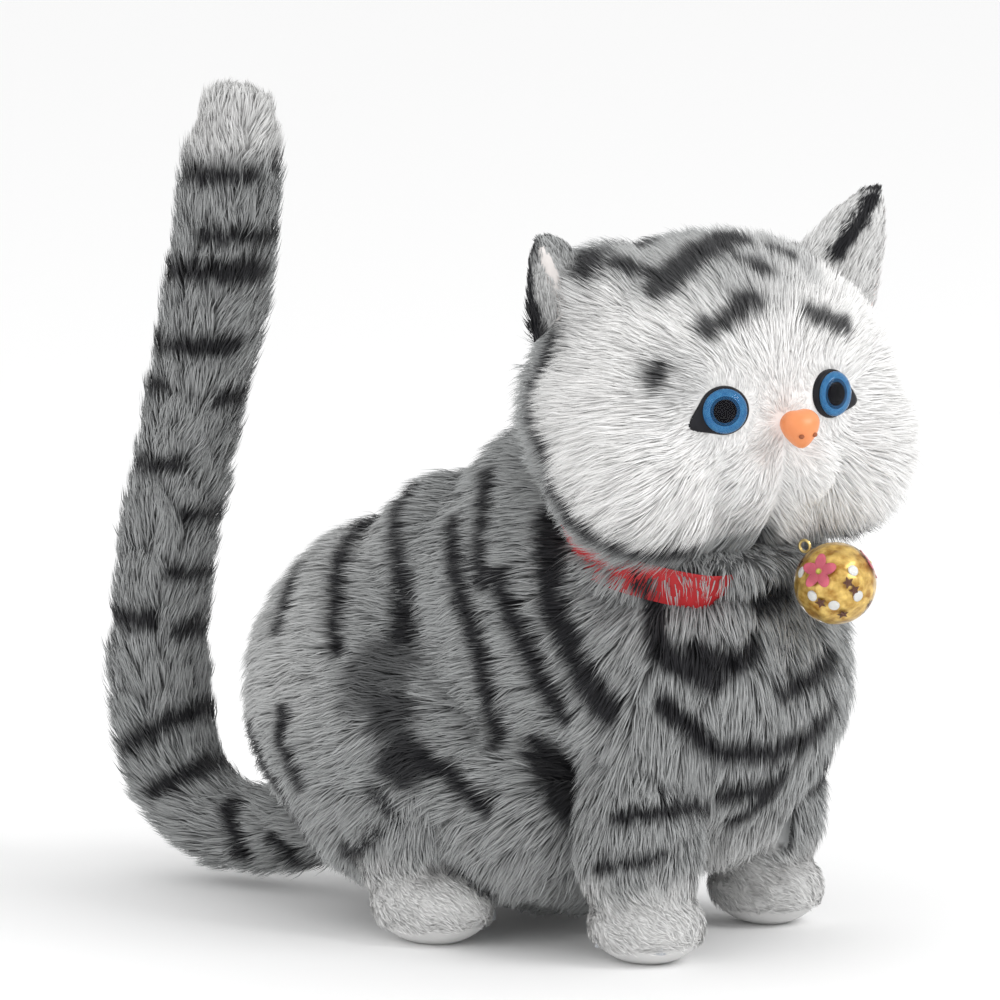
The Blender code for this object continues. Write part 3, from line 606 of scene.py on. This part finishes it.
# ---------------------------------------------------------------- head
# the dark line round the face on the right side, from the ear to the chin, in the head's own axes
CONTOUR = [(-43, 3, 20), (-48, 4, 1), (-46, -3, -9), (-37, -14, -20), (-20, -25, -28)]
CROWN = [         # (half width, points in the head's own axes)
    (4.8, [(5, -10, 45), (-8, -14, 40), (-21, -18, 33)]),
    (3.4, [(-3, -34, 33), (-10, -35, 29.5), (-17, -35, 26)]),
    (2.4, [(-31, -30, 15), (-32, -30, 13)]),
    (2.4, [(15, -16, 42), (19, -19, 41)]),
    (3.0, [(16, -38, 28), (27, -36, 22)]),
    (3.4, [(-31, -5, 33), (-28, -2, 36)]),
    (2.4, [(-20, 2, 41), (-12, 5, 43)]),
    (2.2, [(6, -26, 39), (2, -22, 42)]),
    (2.4, [(-22, -12, 37), (-26, -9, 35)]),
    (3.2, [(30, -4, 34), (24, 4, 38)]),
    (3.0, [(-10, 14, 42), (-24, 16, 36), (-36, 18, 24)]),
    (3.0, [(10, 14, 42), (24, 16, 36), (36, 18, 24)]),
    (3.0, [(-12, 30, 32), (-30, 30, 18)]),
    (3.0, [(12, 30, 32), (30, 30, 18)]),
    (3.0, [(-20, 40, 6), (0, 42, 10), (20, 40, 6)]),
    (3.0, [(-26, 36, -12), (0, 42, -6), (26, 36, -12)]),
]


def on_ball(q):
    """The same direction from the head's middle, on a ball about as big as the head."""
    return unit(q) * 46.0


FACE_EDGE_Z = (-44, -31, -22, -10, 1, 20, 32)      # heights in the head's own axes, and how far back
FACE_EDGE_Y = (-44, -28, -15, -4, 3, 2, -1)        # the white reaches at each


def face_white(q):
    """1 on the white face, 0 on the grey crown and nape; q in the head's axes."""
    wander = waves(q, 14, 31) * 3.0
    limit = np.interp(q[:, 2], FACE_EDGE_Z, FACE_EDGE_Y) + 9.0 * (q[:, 0] > 4)
    inward = q[:, 1] - limit + wander * 0.6
    back = (1 - smooth_step(-4, 3, inward)) * (1 - 0.3 * smooth_step(-16, -3, inward))
    brow = 1 - smooth_step(22, 34, q[:, 2] + wander - 0.22 * np.abs(q[:, 0]))
    return np.clip(back * (0.35 + 0.65 * brow), 0, 1)


def head_shade(p):
    q = to_head(p)
    s = on_ball(q)
    edge = waves(p, 7, 41) * 1.1 + RNG.normal(size=len(p)) * 0.5 - 0.5
    dark = np.zeros(len(p))
    for half, line in CROWN:
        distance = line_distance(s, on_ball(np.array(line, float))) + edge
        dark = np.maximum(dark, 0.95 * stripe(half, distance, 1.4, 1.6))
    for sign in (-1, 1):
        back = 9.0 if sign > 0 else 0.0
        line = on_ball(np.array([(x * -sign, y + back, z) for x, y, z in CONTOUR], float))
        dark = np.maximum(dark, 1 - smooth_step(1.4, 3.0, line_distance(s, line) + edge * 0.6))
    grey_patch = 1 - smooth_step(5, 14, np.linalg.norm(s - on_ball(np.array([[-30.0, -34.0, 14.0]])), axis=1))
    white = face_white(q) * (1 - dark) * (1 - 0.35 * grey_patch)
    return mix(dark, white)


def eye_middle(side):
    return np.array((EYE[0] * side, EYE[1], EYE[2]))


def eye_gap(q):
    """Distance in mm from the nearer eye's middle, across the face, stretched along the almond."""
    right, left = (np.linalg.norm((q - eye_middle(side)) * (0.85, 0.6, 1.05), axis=1) for side in (-1, 1))
    return np.minimum(right, left)


def head_clear(p):
    """False where the neck, the eyes and the nose leave no room for pile."""
    q = to_head(p)
    neck = (q[:, 2] < -24) & (np.hypot(p[:, 0], p[:, 1] + 58) < 26)
    eyes = eye_gap(q) < 5.9
    nose = np.linalg.norm((q - NOSE) * (1, 0.5, 1.2), axis=1) < 5.0
    return ~(neck | eyes | nose)


def face_flow(q):
    """Which way the head's pile lies, in its own axes: out from the nose and eyes, apart at the mouth."""
    flow = q - NOSE * (1, 0.9, 1)
    for side in (-1, 1):
        away = q - eye_middle(side)
        near = (1 - smooth_step(6, 13, np.linalg.norm(away, axis=1)))[:, None]
        flow = unit(flow) * (1 - 0.75 * near) + unit(away) * 0.75 * near
    under = (1 - smooth_step(2, 12, np.abs(q[:, 0]))) * (q[:, 2] < -6) * (q[:, 1] < -20)
    flow = unit(flow)
    flow[:, 0] += 0.9 * under * np.sign(q[:, 0])
    flow[:, 2] -= 0.18
    return flow


def build_head():
    base = skin("head_backing", HEAD_PARTS, 6.0, 1.9, 5, HEAD_FRAME)
    paint(base, *head_shade(points(base)), share=0.6)

    def face(p):
        return to_head(p)[:, 1] < -6

    areas = (
        ("fur_face_right", lambda p: face(p) & (to_head(p)[:, 0] < 0), 4.4),
        ("fur_face_left", lambda p: face(p) & (to_head(p)[:, 0] >= 0), 4.4),
        ("fur_head_back", lambda p: ~face(p), 2.0),
    )
    for name, pick, per_mm2 in areas:
        p, n = scatter(base.data, per_mm2, lambda p, n: head_clear(p) & pick(p))
        q = to_head(p)
        flow = face_flow(q) @ HEAD_M[:3, :3].T
        reach = np.linalg.norm(q - NOSE, axis=1)
        length = 3.0 + 9.0 * smooth_step(8, 42, reach)
        length *= 0.35 + 0.65 * smooth_step(6, 15, eye_gap(q))
        length = np.where(q[:, 2] > 12, np.minimum(length, 8.5), length)
        rise = 0.32 + 0.24 * smooth_step(8, 40, reach)
        obj = grow(name, p, n, flow, length, rise, head_shade,
                   width=0.22, clump=0.2, clump_every=90, jitter=0.08)
        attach(obj, "head")
    settle(base)
    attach(base, "head")
    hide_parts("head_plush")


# ---------------------------------------------------------------- tail
TAIL_BANDS = [     # (z, half height, degrees round from the right side towards the front, half spread)
    (191, 2.6, 14, 48), (175, 2.6, 60, 50), (165.5, 3.5, 16, 62), (145.5, 2.8, 5, 62), (134, 2.4, -30, 22),
    (131, 3.0, 85, 20), (113, 2.4, -2, 36), (99, 2.5, 85, 30), (83, 2.6, 80, 33), (71, 3.0, -8, 32),
    (68, 2.8, 90, 30), (194, 3.0, 120, 18), (150, 2.4, 190, 60), (120, 2.6, 190, 60), (88, 2.6, 200, 50),
    (180, 2.6, 200, 60), (166, 2.4, 190, 40),
]
# (y, z) ends of the bands round the curve at the tail's root, seen from the side
TAIL_ROOT_BANDS = [((111, 35), (92, 47)), ((101, 25), (87, 33)), ((79, 22), (74, 10)), ((64, 15), (58, 8))]


def tail_shade(p, centre):
    edge = waves(p, 7, 61) * 0.8 + RNG.normal(size=len(p)) * 0.5
    off = p - centre
    angle = np.degrees(np.arctan2(-off[:, 1], -off[:, 0]))       # 0 on the right side, 90 to the front
    dark = np.zeros(len(p))
    for z, half, mid, spread in TAIL_BANDS:
        turn = np.abs((angle - mid + 180) % 360 - 180)
        rim = np.maximum(turn - spread, 0) * 0.25
        distance = np.hypot(p[:, 2] - z, rim) + edge
        dark = np.maximum(dark, stripe(half, distance, 0.6, 0.8) * (p[:, 2] > 54))
    for a, b in TAIL_ROOT_BANDS:
        distance = line_distance(p[:, 1:], [a, b]) + edge
        dark = np.maximum(dark, (1 - smooth_step(2.0, 3.4, distance)) * (p[:, 2] <= 56))
    return mix(dark, 0.65 * smooth_step(192, 200, p[:, 2]))


def build_tail():
    base, line = tail_skin("tail_backing", 5.5)

    def follow(p):
        near = np.argmin(np.linalg.norm(p[:, None, :] - line[None], axis=2), axis=1)
        ahead = unit(line[np.minimum(near + 1, len(line) - 1)] - line[np.maximum(near - 1, 0)])
        return line[near], ahead

    paint(base, *tail_shade(points(base), follow(points(base))[0]), share=0.4)
    p, n = scatter(base.data, 2.4)
    centre, ahead = follow(p)
    length = (9.5 + 1.4 * waves(p, 16, 71)) * (1 - 0.35 * smooth_step(188, 202, p[:, 2]))
    obj = grow("fur_tail", p, n, ahead, length, np.full(len(p), 0.62), lambda at: tail_shade(at, centre),
               width=0.34, clump=0.4, clump_every=70)
    for piece in (obj, settle(base)):
        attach(piece, "tail")
    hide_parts("tail_plush")


# ---------------------------------------------------------------- ears
EARS = {    # base inner end, base outer end, tip, tip roundness; head axes
    "left": ((22.0, -8.0, 32.0), (42.5, -8.0, 14.5), (47.5, -9.0, 48.5), 0.32),
    "right": ((-33.0, 2.0, 37.0), (-48.5, 1.0, 20.5), (-45.0, 3.0, 45.5), 0.45),
}
EAR_STRIPES = {               # (half width, [(x, z), ...]) in the head's own axes
    "left": [(2.7, [(45, 46), (39.5, 40.5), (33.5, 34.5)]), (2.4, [(43, 51), (49, 50)])],
    "right": [(3.0, [(-49, 46), (-51, 36), (-50, 26), (-48, 18)])],
}


# share of white, how much less of it at the top, heights between which it drops, then the lining's
# share of the flap's width, how far behind the flap it lies, and its shift
EAR_LOOKS = {
    "left": (0.75, 0.5, (46, 53), 1.06, 2.2, (1.5, 0.0, -0.8)),
    "right": (0.4, 0.3, (36, 44), 0.42, -0.7, (0.0, 0.0, -1.0)),
}


def ear_sheet(label, spread, back):
    """Curved triangular flap in head axes; back moves it away from the face."""
    inner, outer, tip = (np.array(v, float) for v in EARS[label][:3])
    blunt = EARS[label][3]
    rows, cols = 12, 14
    pts = []
    for i in range(rows + 1):
        v = i / rows
        wide = (1 - v ** 1.25) * (1 - blunt) + blunt * math.sqrt(max(0.0, 1 - v ** 4))
        for j in range(cols + 1):
            u = j / cols * 2 - 1
            base = inner + (outer - inner) * (0.5 + 0.5 * u * spread)
            mid = inner + (outer - inner) * 0.5
            point = mid + (tip - mid) * v + (base - mid) * wide
            pts.append(point + np.array([0, -3.2 * (1 - u * u) * (1 - 0.5 * v) + back, 0]))
    across = cols + 1
    faces = [(i * across + j, i * across + j + 1, (i + 1) * across + j + 1, (i + 1) * across + j)
             for i in range(rows) for j in range(cols)]
    return np.array(pts), faces


def thick_sheet(name, pts, faces, thickness, offset=None):
    """Sheet given in the head's own axes, made solid."""
    obj = add_mesh(name, out_of_head(pts), faces)
    mod = obj.modifiers.new("thick", "SOLIDIFY")
    mod.thickness = thickness
    if offset is not None:
        mod.offset = offset
    apply_modifiers(obj)
    return obj


def build_ears():
    linings = {
        "left": finish("ear_lining", (0.80, 0.56, 0.50), 0.8, (0.74, 0.50, 0.45), (0.86, 0.66, 0.60), 260),
        "right": finish("ear_hollow", (0.72, 0.68, 0.66), 0.85, (0.64, 0.60, 0.58), (0.80, 0.76, 0.74), 260),
    }
    for label, (pale, top, top_z, spread, back, shift) in EAR_LOOKS.items():
        flap = thick_sheet("ear_" + label + "_flap", *ear_sheet(label, 1.0, 0.0), 1.4, 0)

        def shade(p):
            q = to_head(p)[:, (0, 2)]
            edge = waves(p, 5, 81) * 0.6 + RNG.normal(size=len(p)) * 0.5
            dark = np.zeros(len(p))
            for half, line in EAR_STRIPES[label]:
                dark = np.maximum(dark, stripe(half, line_distance(q, line) + edge, 0.8, 0.9))
            return mix(dark, np.clip(pale - top * smooth_step(*top_z, q[:, 1]), 0, 1) * (1 - dark))

        paint(flap, *shade(points(flap)), share=0.8)
        p, n = scatter(flap.data, 3.2)
        tip = out_of_head(np.array(EARS[label][2]))
        root = out_of_head(np.array(EARS[label][0]) * 0.5 + np.array(EARS[label][1]) * 0.5)
        flow = unit(np.tile(tip - root, (len(p), 1))) + 0.35 * unit(tip - p)
        length = 2.2 + 2.6 * smooth_step(4, 22, np.linalg.norm(p - tip, axis=1))
        fur = grow("fur_ear_" + label, p, n, flow, length, np.full(len(p), 0.42), shade,
                   width=0.26, clump=0.3, clump_every=60, jitter=0.12)
        pts, faces = ear_sheet(label, spread, back)
        lining = thick_sheet("ear_" + label + "_lining", pts + np.array(shift), faces, 0.8)
        lining.data.materials.append(linings[label])
        for piece in (fur, settle(flap), settle(lining)):
            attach(piece, "head")
        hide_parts("ear_" + label)
        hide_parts("ear_liner_" + label)


# ---------------------------------------------------------------- eyes and nose
def facing(point, outward):
    """Frame at a point of the head, in the head's own axes, with its +Z along outward."""
    z = Vector(outward).normalized()
    x = Vector((0, 0, 1)).cross(z).normalized()
    y = z.cross(x)
    rot = Matrix((x, y, z)).transposed().to_4x4()
    return HEAD_FRAME @ Matrix.Translation(Vector(point)) @ rot


def turned(name, profile, matrix, mat, seg=48):
    """Solid or ring of revolution from (radius, height) points about the frame's +Z."""
    verts = []
    for r, z in profile:
        for k in range(seg):
            a = 2 * math.pi * k / seg
            verts.append((r * math.cos(a), r * math.sin(a), z))
    obj = add_mesh(name, verts, tube_faces(len(profile), seg))
    bm = bmesh.new()
    bm.from_mesh(obj.data)
    bmesh.ops.remove_doubles(bm, verts=bm.verts[:], dist=1e-4)
    bmesh.ops.recalc_face_normals(bm, faces=bm.faces[:])
    bm.transform(matrix)
    bm.to_mesh(obj.data)
    bm.free()
    obj.data.materials.append(mat)
    return obj


EYE_RING = 64                            # points round the almond plate
EYE_ROUND = (7.15, 6.9)                  # the plate's half width and half height without its drawn-out corner
EYE_PLATE = ((1.0, -3.0), (1.0, 0.1), (0.95, 0.75), (0.85, 1.0))   # share of the outline, height


def almond(side):
    """Outline of an eye's plate: a round with a drawn-out outer corner."""
    ring = []
    for k in range(EYE_RING):
        a = 2 * math.pi * k / EYE_RING
        v = Vector((EYE_ROUND[0] * math.cos(a), EYE_ROUND[1] * math.sin(a), 0))
        pull = max(0.0, v.normalized().dot(Vector((side * 0.93, -0.36, 0)).normalized()))
        ring.append(v + Vector((side * 3.6, -1.5, 0)) * pull ** 9)
    return ring


def build_eyes():
    black = finish("eye_rim_black", (0.012, 0.012, 0.015), 0.4,
                   (0.008, 0.008, 0.01), (0.02, 0.02, 0.024), 300, IOR=1.25)
    pupil = finish("eye_pupil", (0.004, 0.004, 0.006), 0.5,
                   (0.003, 0.003, 0.004), (0.006, 0.006, 0.009), 300, IOR=1.1)
    deep = finish("iris_deep", (0.015, 0.06, 0.14), 0.5, (0.01, 0.045, 0.11), (0.02, 0.08, 0.18), 900, IOR=1.1)
    blue = finish("iris_blue", (0.045, 0.19, 0.40), 0.5, (0.03, 0.13, 0.32), (0.07, 0.26, 0.50), 900, IOR=1.1)
    clear = principled("eye_dome", (1.0, 1.0, 1.0), 0.02, Transmission_Weight=1.0, IOR=1.2)
    rounds = (               # (name, material, (radius, height) points)
        ("pupil", pupil, [(0, 1.45), (3.2, 1.45), (3.25, 1.2)]),
        ("iris_deep", deep, [(3.2, 1.36), (4.1, 1.42), (4.1, 1.1)]),
        ("iris", blue, [(4.05, 1.40), (5.9, 1.75), (6.1, 1.5), (6.1, 1.05)]),
        ("dome", clear, [(6.35, 1.05), (6.3, 1.9), (5.6, 2.7), (4.4, 3.4), (2.8, 3.85), (1.2, 4.05),
                         (0, 4.1)]),
    )
    for side, label in ((-1, "right"), (1, "left")):
        frame_at = facing(eye_middle(side), (side * 0.34, -1.0, 0.04)) @ Matrix.Scale(EYE_SIZE, 4)
        ring = almond(side)
        verts = [(v.x * share, v.y * share, z) for share, z in EYE_PLATE for v in ring]
        faces = tube_faces(len(EYE_PLATE), EYE_RING)
        faces.append(tuple(range(len(verts) - EYE_RING, len(verts))))
        faces.append(tuple(range(EYE_RING - 1, -1, -1)))
        rim = add_mesh("eye_" + label + "_rim", verts, faces)
        rim.data.transform(frame_at)
        rim.data.materials.append(black)
        made = {name: turned("eye_" + label + "_" + name, profile, frame_at, mat)
                for name, mat, profile in rounds}
        for piece in [rim] + list(made.values()):
            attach(settle(piece), "head")
        for piece, node, slot in ((rim, "eye_rim_", "eye_black"), (made["iris"], "eye_iris_", "iris_blue"),
                                  (made["dome"], "eye_lens_", "clear_lens")):
            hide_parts(node + label)


NOSE_HALF_WIDTH = 6.3
NOSE_DEPTH = 4.6
NOSE_UP, NOSE_DOWN = 4.6, 5.6            # how far the nose reaches above and below its middle


def build_nose():
    peach = finish("nose_peach", (0.79, 0.26, 0.09), 0.4, (0.72, 0.20, 0.06), (0.84, 0.33, 0.13), 140)
    dark = finish("nostril_brown", (0.30, 0.08, 0.03), 0.6, (0.26, 0.07, 0.02), (0.36, 0.11, 0.04), 300)
    bm = bmesh.new()
    bmesh.ops.create_uvsphere(bm, u_segments=40, v_segments=24, radius=1.0)
    for v in bm.verts:
        x, y, z = v.co
        width = NOSE_HALF_WIDTH * (0.80 + 0.24 * z - 0.12 * z * z)
        dent = 0.5 * math.exp(-((x * 3.2) ** 2)) * max(0.0, z)
        v.co = (x * width, y * NOSE_DEPTH - dent * 0.3, z * (NOSE_UP if z > 0 else NOSE_DOWN) - dent)
    nose = from_bmesh("nose_tip", bm)
    frame_at = HEAD_FRAME @ Matrix.Translation(Vector(NOSE.tolist()) + Vector((0, 1.2, 0.2)))
    nose.data.transform(frame_at)
    nose.data.materials.append(peach)
    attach(settle(nose), "head")
    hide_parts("nose")
    for side in (-1, 1):
        bm = bmesh.new()
        bmesh.ops.create_uvsphere(bm, u_segments=16, v_segments=10, radius=1.0,
                                  matrix=frame_at @ Matrix.Translation((side * 1.9, -3.95, -1.9))
                                  @ Matrix.Diagonal((0.75, 0.6, 0.6, 1)))
        dot = from_bmesh("nostril_" + ("right" if side < 0 else "left"), bm)
        dot.data.materials.append(dark)
        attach(settle(dot), "head")


# ---------------------------------------------------------------- collar and hanging ball
PENDANT = Vector((-8.0, -105.3, 98.5))   # middle of the ball
COLLAR_AT = (0, -58, 101)
COLLAR_TILT = math.radians(12)
RIBBON_SEG, RIBBON_ROWS = 96, 4
RIBBON_HALF = 5.2                        # half the ribbon's width
RIBBON_R, RIBBON_FLARE = 38.6, 1.4       # radius at the upper edge, and how much less for each row below it
RIBBON_DEPTH = 0.93                      # front-to-back share of the radius


def ribbon_point(row, k):
    """The ribbon lies closer to the neck at the front and on the left side."""
    a = 2 * math.pi * k / RIBBON_SEG
    at_front = float(smooth_step(0.6, 0.95, -math.sin(a)))
    at_left = float(smooth_step(-0.2, 0.5, math.cos(a)))
    r = (RIBBON_R - RIBBON_FLARE * (RIBBON_ROWS - 1 - row) + 0.25 * math.sin(a * 7)) * (1 - 0.2 * at_front)
    r *= 1 - 0.075 * at_left
    z = -RIBBON_HALF + 2 * RIBBON_HALF * row / (RIBBON_ROWS - 1)
    return r * math.cos(a), r * RIBBON_DEPTH * math.sin(a), z


def build_collar():
    red = finish("collar_ribbon", (0.42, 0.008, 0.012), 0.55, (0.36, 0.005, 0.008), (0.50, 0.014, 0.02), 500)
    verts = [ribbon_point(row, k) for row in range(RIBBON_ROWS) for k in range(RIBBON_SEG)]
    band = add_mesh("collar_ribbon", verts, tube_faces(RIBBON_ROWS, RIBBON_SEG))
    band.data.transform(Matrix.Translation(COLLAR_AT) @ Matrix.Rotation(COLLAR_TILT, 4, "X"))
    band.data.materials.append(red)
    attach(settle(band), "torso")
    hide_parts("collar_band", "collar_tab")


def petal_bm(bm, at, normal, turn, size):
    """One rounded petal lying on the ball."""
    z = Vector(normal).normalized()
    x = Vector((0.3, 0.1, 1)).cross(z).normalized()
    y = z.cross(x)
    base = Matrix((x, y, z)).transposed().to_4x4()
    mat = (Matrix.Translation(at) @ base @ Matrix.Rotation(turn, 4, "Z") @ Matrix.Translation((size * 0.95, 0, 0))
           @ Matrix.Diagonal((size, size * 0.62, 0.22, 1)))
    bmesh.ops.create_uvsphere(bm, u_segments=18, v_segments=8, radius=1.0, matrix=mat)


FOIL_R, BALL_R = 9.3, 10.5               # the foil core and the clear ball round it
FLOWERS = ((-88, 26, 2.5, 0.3), (40, 30, 2.3, 0.9), (150, 20, 2.4, 0.1))    # azimuth, elevation, petal, turn
BEADS = ((-62, -26), (-22, -12), (-98, -12), (-28, 28), (70, -20), (110, 5), (190, -10), (230, 20))
STARS = ((-84, -22), (-40, 10), (-44, -44), (-30, -2), (20, -30), (90, 30), (140, -30), (210, 30))


def on_pendant(azimuth, elevation, radius):
    """A point at this radius from the ball's middle, and the way out there."""
    a, e = math.radians(azimuth), math.radians(elevation)
    d = Vector((math.sin(a) * math.cos(e), -math.cos(a) * math.cos(e), math.sin(e)))
    return PENDANT + d * radius, d


def add_flowers(bm):
    for azimuth, elevation, size, turn in FLOWERS:
        at, d = on_pendant(azimuth, elevation, 9.75)
        for k in range(5):
            petal_bm(bm, at, d, turn + k * 2 * math.pi / 5, size)


def add_hearts(bm):
    for azimuth, elevation, _, _ in FLOWERS:
        at, _ = on_pendant(azimuth, elevation, 9.9)
        bmesh.ops.create_uvsphere(bm, u_segments=12, v_segments=8, radius=0.8,
                                  matrix=Matrix.Translation(at))


def add_beads(bm):
    for azimuth, elevation in BEADS:
        at, d = on_pendant(azimuth, elevation, 9.5)
        base = Matrix.Translation(at) @ d.to_track_quat("Z", "Y").to_matrix().to_4x4()
        bmesh.ops.create_uvsphere(bm, u_segments=16, v_segments=8, radius=1.0,
                                  matrix=base @ Matrix.Diagonal((1.45, 1.45, 0.5, 1)))


def add_stars(bm):
    for azimuth, elevation in STARS:
        at, d = on_pendant(azimuth, elevation, 9.7)
        base = Matrix.Translation(at) @ d.to_track_quat("Z", "Y").to_matrix().to_4x4()
        centre = bm.verts.new(base @ Vector((0, 0, 0.25)))
        rim = []
        for k in range(10):
            r, a = 1.7 if k % 2 else 0.8, k * math.pi / 5
            rim.append(bm.verts.new(base @ Vector((r * math.cos(a), r * math.sin(a), 0))))
        for k in range(10):
            bm.faces.new((centre, rim[k], rim[(k + 1) % 10]))


def build_pendant():
    gold = finish("foil_gold", (0.62, 0.34, 0.06), 0.32, (0.40, 0.19, 0.02), (0.88, 0.62, 0.18), 420, 0.16,
                  Metallic=0.35)
    pink = finish("petal_pink", (0.55, 0.09, 0.14), 0.6, (0.48, 0.07, 0.11), (0.66, 0.14, 0.20), 300)
    brown = finish("foil_brown", (0.10, 0.03, 0.01), 0.5, (0.07, 0.02, 0.006), (0.15, 0.05, 0.02), 300)
    white = finish("bead_white", (0.80, 0.80, 0.78), 0.5, (0.74, 0.74, 0.72), (0.86, 0.86, 0.84), 300)
    lime = finish("petal_heart", (0.55, 0.50, 0.08), 0.6, (0.45, 0.42, 0.06), (0.62, 0.58, 0.12), 300)
    clear = principled("ball_clear", (1.0, 1.0, 1.0), 0.03, Transmission_Weight=1.0, IOR=1.12)

    bm = bmesh.new()
    bmesh.ops.create_icosphere(bm, subdivisions=5, radius=FOIL_R, matrix=Matrix.Translation(PENDANT))
    lumps = waves(np.array([v.co[:] for v in bm.verts]), 5, 91) * 0.28
    for v, lump in zip(bm.verts, lumps):
        v.co += (v.co - PENDANT).normalized() * lump
    core = from_bmesh("pendant_foil", bm)
    core.data.materials.append(gold)
    made = [core]
    for name, mat, build in (("pendant_petals", pink, add_flowers), ("pendant_hearts", lime, add_hearts),
                             ("pendant_beads", white, add_beads), ("pendant_stars", brown, add_stars)):
        bm = bmesh.new()
        build(bm)
        made.append(from_bmesh(name, bm))
        made[-1].data.materials.append(mat)
    bm = bmesh.new()
    bmesh.ops.create_uvsphere(bm, u_segments=64, v_segments=32, radius=BALL_R,
                              matrix=Matrix.Translation(PENDANT))
    ball = from_bmesh("pendant_ball", bm)
    ball.data.materials.append(clear)
    for piece in made + [ball]:
        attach(settle(piece), "pendant")
    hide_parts("pendant_shell")
    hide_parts("pendant_core")


# ---------------------------------------------------------------- hard parts inside
def dress_inside():
    """Procedural finishes for the moulded and metal parts that stay hidden in the plush."""
    looks = {}
    for row in frame["record"]["materials"]:
        colour = row["base_color"][:3]
        metal = 1.0 if row["class"] in ("brushed_steel", "brass") else 0.0
        mat = principled("part_" + row["slot"], colour, 0.35 if metal else 0.5, Metallic=metal)
        low, high = [c * 0.92 for c in colour], [min(1, c * 1.06) for c in colour]
        looks[row["slot"]] = speckle(mat, low, high, 220)
    slots = {row["node"]: row["material_slot"] for row in frame["record"]["subparts"]}
    for name, node in frame["nodes"].items():
        if not node.hide_render:
            node.data.materials.clear()
            node.data.materials.append(looks[slots[name]])


# ---------------------------------------------------------------- floor, light, camera
def build_stage():
    bm = bmesh.new()
    bmesh.ops.create_grid(bm, x_segments=1, y_segments=1, size=6.0)
    floor = from_bmesh("floor", bm, False)
    floor.data.materials.append(principled("floor_white", (0.93, 0.93, 0.93), 0.9))
    world = bpy.data.worlds.new("studio")
    world.use_nodes = True
    world.node_tree.nodes["Background"].inputs[0].default_value = (1, 1, 1, 1)
    world.node_tree.nodes["Background"].inputs[1].default_value = 1.0
    bpy.context.scene.world = world

    def area(name, at, aim, size, power):
        lamp = bpy.data.lights.new(name, "AREA")
        lamp.size = size
        lamp.energy = power
        obj = bpy.data.objects.new(name, lamp)
        obj.location = at
        obj.rotation_euler = (Vector(aim) - Vector(at)).to_track_quat("-Z", "Y").to_euler()
        bpy.context.scene.collection.objects.link(obj)

    area("key", (0.1, -1.2, 1.0), (0, 0, 0.1), 0.6, 8)
    area("fill", (-1.2, 0.3, 0.6), (0, 0, 0.1), 1.0, 2)

    azimuth, elevation, distance = math.radians(-58), math.radians(9), 2.4
    back = Vector((math.sin(azimuth) * math.cos(elevation), -math.cos(azimuth) * math.cos(elevation),
                   math.sin(elevation)))
    data = bpy.data.cameras.new("camera")
    data.lens = 332
    data.sensor_width = 36
    data.clip_start = 0.05
    cam = bpy.data.objects.new("camera", data)
    cam.location = Vector((0, -0.002, 0.110)) + back * distance
    cam.rotation_euler = (-back).to_track_quat("-Z", "Y").to_euler()
    bpy.context.scene.collection.objects.link(cam)
    bpy.context.scene.camera = cam
    bpy.context.scene.view_settings.view_transform = "Standard"


build_body()
build_legs()
build_head()
build_tail()
build_ears()
build_eyes()
build_nose()
build_collar()
build_pendant()
dress_inside()
build_stage()
